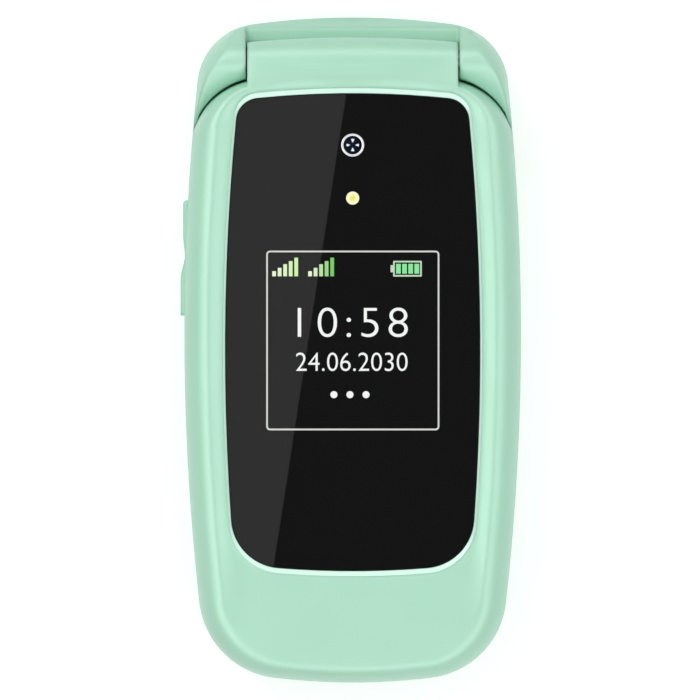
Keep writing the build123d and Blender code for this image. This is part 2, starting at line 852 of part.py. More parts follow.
# Outer form of the base's shoulders, rounded in round the hinge ears.
shoulder_foot = base_top - parting_radius
shoulder_rise = hinge_z + ear_radius + shoulder_over - shoulder_foot
with BuildPart() as shoulder_form:
    for share, rise in quarter_round:
        with BuildSketch(level(shoulder_foot + rise * shoulder_rise)):
            add(base_plan(shoulder_step + share * shoulder_inset))
    loft(ruled=True)

# Section of an ear: round over the hinge, with a slope behind it down to the end
# of the base, and a slope in front that fills the corner beside the lid.
front_turn = math.radians(ear_front_angle)
ear_front = (hinge_y - ear_radius * math.sin(front_turn), hinge_z + ear_radius * math.cos(front_turn))
slope_foot = (ear_front[0] - (ear_front[1] - shoulder_foot) / math.tan(front_turn), shoulder_foot)
ear_foot = (half_length - seat_gap, shoulder_foot)
foot_turn = math.atan2(ear_foot[1] - hinge_z, ear_foot[0] - hinge_y)
back_turn = foot_turn + math.acos(ear_radius / math.dist(ear_foot, (hinge_y, hinge_z)))
ear_back = (hinge_y + ear_radius * math.cos(back_turn), hinge_z + ear_radius * math.sin(back_turn))
strip_top = base_top + strip_rise
with BuildPart() as ears:
    with BuildSketch(across(-half_width)):
        with BuildLine():
            ThreePointArc(ear_back, (hinge_y, hinge_z + ear_radius), ear_front)
            Polyline(ear_front, slope_foot, ear_foot, ear_back)
        make_face()
    extrude(amount=phone_width)
    add(shoulder_form.part, mode=Mode.INTERSECT)
    # Room for the lid's corners, closed and as they swing up.
    with BuildSketch(level(shoulder_foot)):
        add(lid_plan(-corner_gap))
    extrude(amount=shoulder_rise, mode=Mode.SUBTRACT)
    with BuildSketch(level(hinge_z)):
        add(lid_plan(-corner_gap))
    revolve(axis=hinge_axis, revolution_arc=90, mode=Mode.SUBTRACT)
    # Room for the lid's arm and barrel, down to the strip that closes the end behind them.
    with BuildSketch(level(strip_top)):
        Rectangle(2 * ear_x, phone_length)
    extrude(amount=shoulder_rise, mode=Mode.SUBTRACT)
    with BuildSketch(across(-ear_x)):
        with Locations((0, hinge_z)):
            Rectangle(2 * hinge_y, 2 * (hinge_z - shoulder_foot))
        with Locations((hinge_y, hinge_z)):
            Circle(barrel_radius + barrel_gap)
    extrude(amount=2 * ear_x, mode=Mode.SUBTRACT)

with BuildPart() as keypad_shell:
    with BuildSketch(level(z_split)):
        add(base_outline)
    extrude(amount=base_top - z_split)
    fillet(keypad_shell.faces().sort_by(Axis.Z)[-1].edges(), parting_radius)
    with BuildSketch(level(z_split)):
        add(base_plan(shell_wall))
    extrude(amount=z_plate - z_split, mode=Mode.SUBTRACT)
    add(ears.part)
    # Screw bosses.
    with BuildSketch(level(z_dome)):
        with Locations(*base_bosses):
            Circle(boss_radius)
    extrude(amount=z_plate - z_dome)
    with BuildSketch(level(z_dome)):
        with Locations(*base_bosses):
            Circle(screw_radius)
    extrude(amount=z_plate - z_dome, mode=Mode.SUBTRACT)
    # Openings for the keys.
    with BuildSketch(level(z_plate)):
        for name, place, size, corner in pressed_keys:
            with Locations(place):
                RectangleRounded(
                    size[0] + 2 * key_clearance, size[1] + 2 * key_clearance, corner + key_clearance
                )
        with Locations(nav_centre):
            Circle(nav_radius + key_clearance)
    extrude(amount=keypad_plate, mode=Mode.SUBTRACT)
    # Microphone hole.
    with BuildSketch(level(z_plate)):
        with Locations((0, microphone_y)):
            Circle(microphone_hole)
    extrude(amount=keypad_plate, mode=Mode.SUBTRACT)
    # Slot for the volume rocker in the left wall.
    with BuildSketch(level(z_dome)):
        with Locations((-half_width, rocker_y)):
            Rectangle(4 * shell_wall, rocker_length + 2 * key_clearance)
    extrude(amount=rocker_height + 2 * seat_gap, mode=Mode.SUBTRACT)
    # Seats for the shaft and the bush in the ears.
    with BuildSketch(across(ear_x, hinge_y, hinge_z)):
        Circle(shaft_radius)
        with Locations((0, shaft_radius), (0, -shaft_radius)):
            Rectangle(2 * shaft_radius, 2 * shaft_flat, mode=Mode.SUBTRACT)
    extrude(amount=ear_seat, mode=Mode.SUBTRACT)
    with BuildSketch(across(-ear_x, hinge_y, hinge_z)):
        Circle(bore_radius - running_gap)
    extrude(amount=-ear_seat, mode=Mode.SUBTRACT)
    # Way for the flat cable, from the bush down into the base.
    with BuildSketch(level(z_split)):
        with Locations((-ear_x - ear_seat + bush_bore, hinge_y)):
            Rectangle(2 * bush_bore, 2 * bush_bore)
    extrude(amount=hinge_z - bore_radius - z_split, mode=Mode.SUBTRACT)
    # Mouths of the sockets that cross into this shell.
    add(socket_mouths.part, mode=Mode.SUBTRACT)
keypad_shell.part.label = "keypad_shell"
export_step(keypad_shell.part, "parts/keypad_shell.step")

# ---------------------------------------------------------------- rear shell
with BuildPart() as rear_form:
    with BuildSketch(level(0)):
        add(base_outline)
    extrude(amount=z_split)
    fillet(rear_form.faces().sort_by(Axis.Z)[0].edges(), rear_edge_radius)


def cover_shape(grow):
    """Plan of the battery cover, which runs out past the bottom end."""
    length = cover_top + phone_length
    with BuildSketch() as plan:
        with Locations((0, cover_top - length / 2)):
            Rectangle(2 * (cover_half_width + grow), length + 2 * grow)
        fillet(plan.vertices().sort_by(Axis.Y)[-2:], cover_corner + grow)
    return plan.sketch


with BuildPart() as rear_shell:
    add(rear_form.part)
    # Recess that the battery cover slides into.
    with BuildSketch(level(0)):
        add(cover_shape(cover_clearance))
    extrude(amount=z_recess, mode=Mode.SUBTRACT)
    with BuildSketch(level(z_floor)):
        add(base_plan(rear_wall))
    extrude(amount=z_split - z_floor, mode=Mode.SUBTRACT)
    # Battery bay: walls and roof stand in the hollow, the floor is open.
    with BuildSketch(level(z_recess)):
        with Locations((0, battery_y)):
            Rectangle(battery_width + 2 * bay_wall, battery_length + 2 * bay_wall)
    extrude(amount=z_split - z_recess)
    with BuildSketch(level(z_recess)):
        with Locations((0, battery_y)):
            Rectangle(battery_width + 2 * bay_gap, battery_length + 2 * bay_gap)
    extrude(amount=z_roof - z_recess, mode=Mode.SUBTRACT)
    # Window in the bay's roof for the card sockets, and one for the contacts.
    with BuildSketch(level(z_roof)):
        with Locations((0, socket_y)):
            Rectangle(2 * socket_length + 4 * bay_gap, socket_width + 2 * bay_gap)
    extrude(amount=roof_wall, mode=Mode.SUBTRACT)
    with BuildSketch(level(z_floor)):
        with Locations((0, contact_y)):
            Rectangle(contact_width + 2 * seat_gap, contact_length + 2 * seat_gap)
    extrude(amount=z_split - z_floor, mode=Mode.SUBTRACT)
    # Slits for the blades of the contacts.
    with BuildSketch(Plane.XZ.offset(-contact_y)):
        with Locations((0, z_battery + battery_thickness / 2)):
            with GridLocations(contact_pitch, 0, 3, 1):
                Rectangle(contact_blade + 2 * seat_gap, battery_thickness / 2)
    extrude(amount=contact_y - battery_top, mode=Mode.SUBTRACT)
    # Screw posts, with seats for the heads behind the cover.
    with BuildSketch(level(z_floor)):
        with Locations(*base_bosses):
            Circle(boss_radius)
    extrude(amount=z_split - z_floor)
    with BuildSketch(level(z_recess)):
        with Locations(*base_bosses):
            Circle(screw_head_radius + seat_gap)
    extrude(amount=screw_head_height, mode=Mode.SUBTRACT)
    with BuildSketch(level(z_recess)):
        with Locations(*base_bosses):
            Circle(screw_radius + running_gap)
    extrude(amount=z_split - z_recess, mode=Mode.SUBTRACT)
    # Sound holes below the loudspeaker.
    with BuildSketch(level(z_recess)):
        with Locations((0, speaker_y)):
            with GridLocations(2 * slot_width, 0, speaker_slots, 1):
                SlotOverall(speaker_length / 2, slot_width, rotation=90)
    extrude(amount=floor_wall, mode=Mode.SUBTRACT)
    add(socket_mouths.part, mode=Mode.SUBTRACT)
rear_shell.part.label = "rear_shell"
export_step(rear_shell.part, "parts/rear_shell.step")

# ---------------------------------------------------------------- battery cover
with BuildPart() as battery_cover:
    add(rear_form.part)
    with BuildSketch(level(0)):
        add(cover_shape(0))
    extrude(amount=cover_thickness, mode=Mode.INTERSECT)
    # Sound slots, and ridges to push the cover with.
    with BuildSketch(level(0)):
        with Locations((0, speaker_y)):
            with GridLocations(2 * slot_width, 0, speaker_slots, 1):
                SlotOverall(speaker_length / 2, slot_width, rotation=90)
    extrude(amount=cover_thickness, mode=Mode.SUBTRACT)
    with BuildSketch(level(0)):
        with Locations((0, grip_y)):
            with GridLocations(0, 2 * slot_width, 1, grip_count):
                SlotOverall(grip_width, slot_width)
    extrude(amount=grip_depth, mode=Mode.SUBTRACT)
battery_cover.part.label = "battery_cover"
export_step(battery_cover.part, "parts/battery_cover.step")

# ---------------------------------------------------------------- keys


def make_key(place, size, corner):
    """Key cap with a flange that holds it under the plate, and its stem."""
    with BuildPart() as key:
        with BuildSketch(level(z_flange)):
            with Locations(place):
                Rectangle(size[0] + 2 * flange_width, size[1] + 2 * flange_width)
        extrude(amount=flange_height)
        with BuildSketch(level(z_flange)):
            with Locations(place):
                RectangleRounded(size[0], size[1], corner)
        extrude(amount=key_top - z_flange)
        chamfer(key.faces().sort_by(Axis.Z)[-1].edges(), key_edge)
        with BuildSketch(level(z_stem)):
            with Locations(place):
                Rectangle(2 * stem_radius, 2 * stem_radius)
        extrude(amount=stem_height)
    return key.part


for name, place, size, corner in pressed_keys:
    key_part = make_key(place, size, corner)
    key_part.label = "key_" + name
    export_step(key_part, "parts/key_" + name + ".step")

with BuildPart() as key_ok:
    with BuildSketch(level(z_flange)):
        with Locations(nav_centre):
            Circle(ok_radius + ok_flange_width)
    extrude(amount=ok_flange_height)
    with BuildSketch(level(z_flange)):
        with Locations(nav_centre):
            Circle(ok_radius)
    extrude(amount=key_top - z_flange)
    chamfer(key_ok.faces().sort_by(Axis.Z)[-1].edges(), key_edge)
    with BuildSketch(level(z_stem)):
        with Locations(nav_centre):
            Circle(stem_radius)
    extrude(amount=stem_height)
key_ok.part.label = "key_ok"
export_step(key_ok.part, "parts/key_ok.step")

with BuildPart() as nav_ring:
    with BuildSketch(level(z_flange)):
        with Locations(nav_centre):
            Circle(nav_radius + flange_width)
    extrude(amount=nav_flange_height)
    with BuildSketch(level(z_flange)):
        with Locations(nav_centre):
            Circle(nav_radius)
    extrude(amount=key_top - z_flange)
    # Middle for the centre key, with room below for that key's flange.
    with BuildSketch(level(z_flange)):
        with Locations(nav_centre):
            Circle(nav_inner_radius)
    extrude(amount=key_top - z_flange, mode=Mode.SUBTRACT)
    with BuildSketch(level(z_flange)):
        with Locations(nav_centre):
            Circle(nav_pad_radius)
    extrude(amount=nav_flange_height, mode=Mode.SUBTRACT)
    chamfer(nav_ring.faces().sort_by(Axis.Z)[-1].edges(), key_edge)
    # Small marks for the four directions.
    with BuildSketch(level(key_top - nav_mark_depth)):
        with Locations(nav_centre):
            with PolarLocations((nav_radius + nav_inner_radius) / 2, 4):
                RegularPolygon(nav_mark, 3)
    extrude(amount=nav_mark_depth, mode=Mode.SUBTRACT)
nav_ring.part.label = "nav_ring"
export_step(nav_ring.part, "parts/nav_ring.step")

# Silicone pad below the navigation ring: it rocks on two ribs under it,
# and the ring rocks the other way on two ribs on top of it.
pad_low = z_mat + mat_thickness + running_gap
pad_middle = (pad_low + z_flange) / 2
pad_ribs = (
    (pad_low, pad_middle, (2 * (nav_pad_radius + nav_pad_width), nav_rib_width)),
    (pad_middle, z_flange - running_gap, (nav_rib_width, 2 * (nav_pad_radius + nav_pad_width))),
)
with BuildPart() as nav_pad:
    for rib_low, rib_high, rib_size in pad_ribs:
        with BuildSketch(level(rib_low)):
            with Locations(nav_centre):
                Rectangle(*rib_size)
        extrude(amount=rib_high - rib_low)
    with BuildSketch(level(pad_middle - nav_pad_height / 2)):
        with Locations(nav_centre):
            Circle(nav_pad_radius + nav_pad_width)
    extrude(amount=nav_pad_height)
    with BuildSketch(level(pad_low)):
        with Locations(nav_centre):
            Circle(nav_pad_radius)
    extrude(amount=z_flange - pad_low, mode=Mode.SUBTRACT)
nav_pad.part.label = "nav_pad"
export_step(nav_pad.part, "parts/nav_pad.step")

# ---------------------------------------------------------------- under the keys
mat_length = mat_top - mat_bottom
with BuildPart() as dome_foil:
    with BuildSketch(level(z_dome)):
        with Locations((0, (mat_top + mat_bottom) / 2)):
            RectangleRounded(mat_width, mat_length, digit_corner)
    extrude(amount=dome_sheet)
    with BuildSketch(level(z_dome + dome_sheet)):
        with Locations(*[key[1] for key in pressed_keys], nav_centre):
            RegularPolygon(dome_radius, 8)
        with Locations(nav_centre):
            with PolarLocations((nav_radius + nav_inner_radius) / 2, 4, start_angle=45):
                RegularPolygon(dome_radius / 2, 8)
    extrude(amount=dome_height)
dome_foil.part.label = "dome_foil"
export_step(dome_foil.part, "parts/dome_foil.step")

with BuildPart() as keypad_mat:
    with BuildSketch(level(z_mat)):
        with Locations((0, (mat_top + mat_bottom) / 2)):
            RectangleRounded(mat_width, mat_length, digit_corner)
    extrude(amount=mat_thickness)
keypad_mat.part.label = "keypad_mat"
export_step(keypad_mat.part, "parts/keypad_mat.step")

with BuildPart() as main_board:
    with BuildSketch(level(z_split)):
        add(base_plan(board_inset))
        with Locations(*base_bosses):
            Circle(screw_radius + seat_gap, mode=Mode.SUBTRACT)
    extrude(amount=board_thickness)
main_board.part.label = "main_board"
export_step(main_board.part, "parts/main_board.step")

with BuildPart() as shield_can:
    with BuildSketch(level(z_split - can_height)):
        with Locations((can_x, can_y)):
            RectangleRounded(can_width, can_length, seat_gap)
    extrude(amount=can_height)
    with BuildSketch(level(z_split - can_height + can_wall)):
        with Locations((can_x, can_y)):
            Rectangle(can_width - 2 * can_wall, can_length - 2 * can_wall)
    extrude(amount=can_height - can_wall, mode=Mode.SUBTRACT)
shield_can.part.label = "shield_can"
export_step(shield_can.part, "parts/shield_can.step")

with BuildPart() as battery:
    with BuildSketch(level(z_battery)):
        with Locations((0, battery_y)):
            Rectangle(battery_width, battery_length)
    extrude(amount=battery_thickness)
    fillet(battery.edges().filter_by(Axis.Y), battery_edge)
    # Three recessed contacts in the end wall.
    with BuildSketch(Plane.XZ.offset(-(battery_y + battery_length / 2))):
        with Locations((0, z_battery + battery_thickness / 2)):
            with GridLocations(contact_pitch, 0, 3, 1):
                Rectangle(contact_blade + 2 * seat_gap, battery_thickness / 2)
    extrude(amount=contact_reach, mode=Mode.SUBTRACT)
battery.part.label = "battery"
export_step(battery.part, "parts/battery.step")

with BuildPart() as battery_contacts:
    with BuildSketch(level(z_floor)):
        with Locations((0, contact_y)):
            Rectangle(contact_width, contact_length)
    extrude(amount=z_split - z_floor)
    with BuildSketch(Plane.XZ.offset(-contact_y + contact_length / 2)):
        with Locations((0, z_battery + battery_thickness / 2)):
            with GridLocations(contact_pitch, 0, 3, 1):
                Rectangle(contact_blade, battery_thickness / 2 - 2 * seat_gap)
    extrude(amount=contact_blade_length)
battery_contacts.part.label = "battery_contacts"
export_step(battery_contacts.part, "parts/battery_contacts.step")

with BuildPart() as card_sockets:
    with BuildSketch(level(z_split - socket_height)):
        with Locations((0, socket_y)):
            with GridLocations(socket_length + bay_gap, 0, 2, 1):
                Rectangle(socket_length, socket_width)
    extrude(amount=socket_height)
    with BuildSketch(level(z_split - socket_height + can_wall)):
        with Locations((0, socket_y - can_wall)):
            with GridLocations(socket_length + bay_gap, 0, 2, 1):
                Rectangle(socket_length - 2 * can_wall, socket_width)
    extrude(amount=card_slot, mode=Mode.SUBTRACT)
card_sockets.part.label = "card_sockets"
export_step(card_sockets.part, "parts/card_sockets.step")

with BuildPart() as loudspeaker:
    with BuildSketch(level(z_floor)):
        with Locations((0, speaker_y)):
            RectangleRounded(speaker_width, speaker_length, slot_width)
    extrude(amount=speaker_height)
    with BuildSketch(level(z_floor + speaker_height)):
        with Locations((0, speaker_y)):
            RectangleRounded(speaker_width - 4 * slot_width, speaker_length - 4 * slot_width, slot_width)
    extrude(amount=z_split - z_floor - speaker_height)
loudspeaker.part.label = "loudspeaker"
export_step(loudspeaker.part, "parts/loudspeaker.step")

with BuildPart() as microphone:
    with BuildSketch(level(z_dome)):
        with Locations((0, microphone_y)):
            Circle(microphone_radius)
    extrude(amount=z_plate - z_dome)
    with BuildSketch(level(z_plate)):
        with Locations((0, microphone_y)):
            Circle(microphone_hole)
    extrude(amount=-slot_width, mode=Mode.SUBTRACT)
microphone.part.label = "microphone"
export_step(microphone.part, "parts/microphone.step")

with BuildPart() as antenna:
    with BuildSketch(level(z_floor)):
        with Locations((0, antenna_y)):
            Rectangle(antenna_width, antenna_length)
    extrude(amount=z_split - z_floor)
    with BuildSketch(level(z_floor)):
        with Locations((0, antenna_y)):
            with GridLocations(antenna_width / 3, 0, 3, 1):
                Rectangle(antenna_width / 3 - 2 * slot_width, antenna_length - 2 * slot_width)
    extrude(amount=z_split - z_floor - slot_width, mode=Mode.SUBTRACT)
antenna.part.label = "antenna"
export_step(antenna.part, "parts/antenna.step")

with BuildPart() as usb_socket:
    with BuildSketch(usb_plane):
        SlotOverall(usb_width, usb_height)
    extrude(amount=-usb_depth)
    with BuildSketch(usb_plane):
        SlotOverall(usb_width - 2 * can_wall, usb_height - 2 * can_wall)
    extrude(amount=-(usb_depth - slot_width), mode=Mode.SUBTRACT)
    with BuildSketch(usb_plane.offset(-slot_width)):
        Rectangle(usb_tongue_width, usb_tongue)
    extrude(amount=-(usb_depth - 2 * slot_width))
usb_socket.part.label = "usb_socket"
export_step(usb_socket.part, "parts/usb_socket.step")

with BuildPart() as headphone_jack:
    with BuildSketch(jack_plane.offset(-jack_length)):
        RectangleRounded(jack_body, jack_body, jack_corner)
    extrude(amount=jack_length - rear_wall - seat_gap)
    with BuildSketch(jack_plane):
        Circle(jack_nose)
    extrude(amount=-jack_length)
    with BuildSketch(jack_plane):
        Circle(jack_bore)
    extrude(amount=-(jack_length - slot_width), mode=Mode.SUBTRACT)
headphone_jack.part.label = "headphone_jack"
export_step(headphone_jack.part, "parts/headphone_jack.step")

with BuildPart() as case_screws:
    with BuildSketch(level(z_recess)):
        with Locations(*base_bosses):
            Circle(screw_head_radius)
    extrude(amount=screw_head_height)
    with BuildSketch(level(z_recess)):
        with Locations(*base_bosses):
            Circle(screw_radius)
    extrude(amount=case_screw_length)
    with BuildSketch(level(z_recess)):
        with Locations(*base_bosses):
            RegularPolygon(screw_radius, 6)
    extrude(amount=screw_head_height / 2, mode=Mode.SUBTRACT)
case_screws.part.label = "case_screws"
export_step(case_screws.part, "parts/case_screws.step")

# ---------------------------------------------------------------- volume rocker and its switches
with BuildPart() as volume_rocker:
    with BuildSketch(level(z_dome + seat_gap)):
        with BuildLine():
            Polyline(
                (rocker_face, rocker_y - rocker_waist_reach),
                (rocker_face, rocker_low),
                (rocker_inner, rocker_low),
                (rocker_inner, rocker_high),
                (rocker_side, rocker_high),
                (rocker_face + rocker_step, rocker_high - rocker_step),
                (rocker_face + rocker_step, rocker_y + rocker_waist_reach),
            )
            Spline(
                (rocker_face + rocker_step, rocker_y + rocker_waist_reach),
                (rocker_face + rocker_waist, rocker_y),
                (rocker_face, rocker_y - rocker_waist_reach),
                tangents=((0, -1), (0, -1)),
            )
        make_face()
    extrude(amount=rocker_height)
    # Flange inside the wall, and the two bosses that press the switches.
    with BuildSketch(level(z_dome + seat_gap)):
        with Locations((rocker_inner + rocker_flange / 2, rocker_y)):
            Rectangle(rocker_flange, rocker_length + 2 * flange_width + 2 * key_clearance)
        with Locations((rocker_inner + rocker_flange, rocker_y)):
            with GridLocations(0, 2 * switch_offset, 1, 2):
                Circle(rocker_flange)
    extrude(amount=rocker_height)
volume_rocker.part.label = "volume_rocker"
export_step(volume_rocker.part, "parts/volume_rocker.step")

with BuildPart() as rocker_switches:
    with BuildSketch(level(z_dome)):
        with Locations((switch_face + switch_depth / 2, rocker_y)):
            with GridLocations(0, 2 * switch_offset, 1, 2):
                Rectangle(switch_depth, switch_length)
    extrude(amount=switch_height)
rocker_switches.part.label = "rocker_switches"
export_step(rocker_switches.part, "parts/rocker_switches.step")
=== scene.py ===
import json
import math

import bmesh
import bpy
from mathutils import Matrix, Vector
from mathutils.bvhtree import BVHTree


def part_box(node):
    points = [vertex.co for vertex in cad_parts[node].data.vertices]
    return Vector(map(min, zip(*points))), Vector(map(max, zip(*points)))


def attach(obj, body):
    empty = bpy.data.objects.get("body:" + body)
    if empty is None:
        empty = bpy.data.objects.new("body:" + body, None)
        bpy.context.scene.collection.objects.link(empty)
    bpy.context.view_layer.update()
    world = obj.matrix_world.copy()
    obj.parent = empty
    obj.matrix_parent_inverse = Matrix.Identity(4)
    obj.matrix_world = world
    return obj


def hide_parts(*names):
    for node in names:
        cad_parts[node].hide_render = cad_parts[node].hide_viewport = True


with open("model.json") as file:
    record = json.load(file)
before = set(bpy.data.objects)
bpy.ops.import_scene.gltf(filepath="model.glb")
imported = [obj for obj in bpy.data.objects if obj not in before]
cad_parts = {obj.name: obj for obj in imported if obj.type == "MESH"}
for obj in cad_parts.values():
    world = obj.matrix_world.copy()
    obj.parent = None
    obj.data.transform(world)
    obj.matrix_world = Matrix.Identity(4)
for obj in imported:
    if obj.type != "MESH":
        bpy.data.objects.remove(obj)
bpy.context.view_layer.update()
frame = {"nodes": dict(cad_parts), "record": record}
nodes = frame["nodes"]

MM = 0.001
BLACK = (0, 0, 0, 1)
WHITE = (1, 1, 1, 1)
scene = bpy.context.scene


# ------------------------------------------------------------------ node tools
def new_material(name):
    material = bpy.data.materials.new(name)
    material.use_nodes = True
    tree = material.node_tree
    shader = tree.nodes["Principled BSDF"]
    return material, tree, shader


def add_node(tree, kind, **values):
    node = tree.nodes.new(kind)
    for key, value in values.items():
        if key in node.inputs:
            node.inputs[key].default_value = value
        else:
            setattr(node, key, value)
    return node


def link(tree, source, target):
    tree.links.new(source, target)


def object_noise(tree, scale, detail=3.0, roughness=0.5, stretch=None):
    place = add_node(tree, "ShaderNodeTexCoord")
    source = place.outputs["Object"]
    if stretch:
        mapping = add_node(tree, "ShaderNodeMapping")
        mapping.inputs["Scale"].default_value = stretch
        link(tree, source, mapping.inputs["Vector"])
        source = mapping.outputs["Vector"]
    noise = add_node(tree, "ShaderNodeTexNoise")
    noise.inputs["Scale"].default_value = scale
    noise.inputs["Detail"].default_value = detail
    noise.inputs["Roughness"].default_value = roughness
    link(tree, source, noise.inputs["Vector"])
    return noise


def ramp(tree, source, stops):
    """Colours at places from 0 to 1 of a source's value."""
    node = add_node(tree, "ShaderNodeValToRGB")
    elements = node.color_ramp.elements
    while len(elements) < len(stops):
        elements.new(0.5)
    for element, (place, color) in zip(elements, stops):
        element.position = place
        element.color = (*color, 1.0)
    link(tree, source, node.inputs["Fac"])
    return node


def two_tone(tree, noise, dark, light):
    """A noise's darker and lighter colour."""
    return ramp(tree, noise.outputs["Fac"], [(0.3, dark), (0.7, light)])


def bump(tree, shader, height, strength, distance):
    node = add_node(tree, "ShaderNodeBump")
    node.inputs["Strength"].default_value = strength
    node.inputs["Distance"].default_value = distance
    link(tree, height, node.inputs["Height"])
    link(tree, node.outputs["Normal"], shader.inputs["Normal"])
    return node


def range_to(tree, source, low, high):
    node = add_node(tree, "ShaderNodeMapRange")
    node.inputs["To Min"].default_value = low
    node.inputs["To Max"].default_value = high
    link(tree, source, node.inputs["Value"])
    return node


def radial_fade(tree, node, radius):
    """1 in the middle of a round node, falling to 0 at a radius."""
    low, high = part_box(node)
    centre = (low + high) / 2
    size = 1 / radius
    place = add_node(tree, "ShaderNodeTexCoord")
    mapping = add_node(tree, "ShaderNodeMapping")
    mapping.inputs["Location"].default_value = (-centre.x * size, -centre.y * size, 0)
    mapping.inputs["Scale"].default_value = (size, size, 0)
    link(tree, place.outputs["Object"], mapping.inputs["Vector"])
    radial = add_node(tree, "ShaderNodeTexGradient", gradient_type="SPHERICAL")
    link(tree, mapping.outputs["Vector"], radial.inputs["Vector"])
    return radial.outputs["Fac"]


CLOUD_SCALE = 60.0
GLOSS_SCALE = 180.0
GLOSS_SPREAD = 0.05
GRAIN_DEPTH = 0.02 * MM


def plastic(
    name, color, roughness=0.4, variation=0.03, grain=0.25, grain_size=0.25 * MM, specular=0.5, edge=0.0
):
    """Moulded plastic: faint cloudy colour, fine spark-eroded grain, uneven gloss, soft edges."""
    material, tree, shader = new_material(name)
    clouds = object_noise(tree, CLOUD_SCALE, 3.0)
    dark = tuple(c * (1 - variation) for c in color)
    light = tuple(min(1.0, c * (1 + variation)) for c in color)
    tint = two_tone(tree, clouds, dark, light)
    link(tree, tint.outputs["Color"], shader.inputs["Base Color"])
    fine = object_noise(tree, 1 / grain_size, 2.0, 0.6)
    gloss = object_noise(tree, GLOSS_SCALE, 4.0, 0.6)
    rough = range_to(tree, gloss.outputs["Fac"], roughness - GLOSS_SPREAD, roughness + GLOSS_SPREAD)
    link(tree, rough.outputs["Result"], shader.inputs["Roughness"])
    grains = bump(tree, shader, fine.outputs["Fac"], grain, GRAIN_DEPTH)
    if edge:
        soft = add_node(tree, "ShaderNodeBevel", samples=8, Radius=edge)
        link(tree, soft.outputs["Normal"], grains.inputs["Normal"])
    shader.inputs["Specular IOR Level"].default_value = specular
    return material


BRUSH_SCALE = 900.0
BRUSH_SHADE = 0.9
BRUSH_SPREAD = 0.07
BRUSH_DEPTH = 0.01 * MM


def metal(name, color, roughness=0.3, brushed=None, grain=0.2):
    """Metal with an uneven gloss, in streaks where it is brushed."""
    material, tree, shader = new_material(name)
    noise = object_noise(tree, BRUSH_SCALE, 3.0, 0.6, brushed)
    tint = two_tone(tree, noise, tuple(c * BRUSH_SHADE for c in color), color)
    link(tree, tint.outputs["Color"], shader.inputs["Base Color"])
    rough = range_to(tree, noise.outputs["Fac"], roughness - BRUSH_SPREAD, roughness + BRUSH_SPREAD)
    link(tree, rough.outputs["Result"], shader.inputs["Roughness"])
    bump(tree, shader, noise.outputs["Fac"], grain, BRUSH_DEPTH)
    shader.inputs["Metallic"].default_value = 1.0
    return material


GLOW_BASE = (0.02, 0.02, 0.02, 1)
PIXEL_SCALE = 5000.0
PIXEL_SHADE = 0.93


def glow(name, color, strength=2.0):
    """Lit shape on a display: it shines through the smoked window, with a faint pixel grid. Also a painted
    glint, which glows though it is no lamp.
    """
    material, tree, shader = new_material(name)
    shader.inputs["Base Color"].default_value = GLOW_BASE
    shader.inputs["Roughness"].default_value = 0.35
    place = add_node(tree, "ShaderNodeTexCoord")
    grid = add_node(tree, "ShaderNodeTexChecker")
    grid.inputs["Scale"].default_value = PIXEL_SCALE
    grid.inputs["Color1"].default_value = (*color, 1)
    grid.inputs["Color2"].default_value = (*(c * PIXEL_SHADE for c in color), 1)
    link(tree, place.outputs["Object"], grid.inputs["Vector"])
    link(tree, grid.outputs["Color"], shader.inputs["Emission Color"])
    shader.inputs["Emission Strength"].default_value = strength
    return material


# ------------------------------------------------------------------ materials
MINT = (0.395, 0.71, 0.54)
mint = plastic(
    "mint_plastic", MINT, roughness=0.36, variation=0.012, grain=0.18, grain_size=0.2 * MM, edge=1.1 * MM
)
# Paler mint for the window's bevel: its lighter colour is a painted highlight.
mint_bevel_highlight = plastic(
    "mint_bevel_highlight", (0.66, 0.95, 0.82), roughness=0.24, variation=0.01, grain=0.05,
    grain_size=0.2 * MM, specular=0.45,
)
mint_inner = plastic(
    "mint_inner", tuple(c * 0.97 for c in MINT), roughness=0.48, variation=0.015, grain=0.3,
    grain_size=0.18 * MM, specular=0.45,
)
mint_rear = plastic("mint_rear", MINT, roughness=0.45, variation=0.012, grain=0.35, grain_size=0.22 * MM)
key_mint = plastic(
    "key_mint", (0.58, 0.83, 0.70), roughness=0.33, variation=0.012, grain=0.1, grain_size=0.2 * MM
)
key_metal = metal("key_metal", (0.36, 0.39, 0.385), roughness=0.30, brushed=(1, 12, 1), grain=0.1)
black_print = plastic(
    "window_print", (0.0035, 0.0037, 0.004), roughness=0.6, variation=0.05, grain=0.0, specular=0.0
)
black_plastic = plastic("black_plastic", (0.014, 0.014, 0.016), roughness=0.5, variation=0.1, grain=0.4)
bumper_rubber = plastic("bumper_rubber", (0.38, 0.62, 0.50), roughness=0.75, variation=0.05, grain=0.6)
silicone = plastic("silicone", (0.62, 0.66, 0.64), roughness=0.6, variation=0.04, grain=0.3)
steel = metal("steel", (0.58, 0.58, 0.58), roughness=0.28, brushed=(1, 20, 1))
dark_steel = metal("dark_steel", (0.20, 0.20, 0.21), roughness=0.38)
chrome = metal("chrome_ring", (0.50, 0.50, 0.52), roughness=0.3)
gold = metal("gold", (0.85, 0.60, 0.25), roughness=0.22)
foil = plastic("foil", (0.70, 0.70, 0.66), roughness=0.3, variation=0.03, grain=0.1)
wrap = plastic("battery_wrap", (0.03, 0.032, 0.036), roughness=0.45, variation=0.1, grain=0.2)


def board_material():
    """Green board with small gold pads."""
    material, tree, shader = new_material("board")
    place = add_node(tree, "ShaderNodeTexCoord")
    pads = add_node(tree, "ShaderNodeTexVoronoi")
    pads.inputs["Scale"].default_value = 420.0
    link(tree, place.outputs["Object"], pads.inputs["Vector"])
    gold_pad, green_mask = (0.55, 0.45, 0.2), (0.01, 0.09, 0.045)
    tint = ramp(tree, pads.outputs["Distance"], [(0.05, gold_pad), (0.12, green_mask)])
    link(tree, tint.outputs["Color"], shader.inputs["Base Color"])
    shader.inputs["Roughness"].default_value = 0.35
    bump(tree, shader, pads.outputs["Distance"], 0.2, 0.03 * MM)
    return material


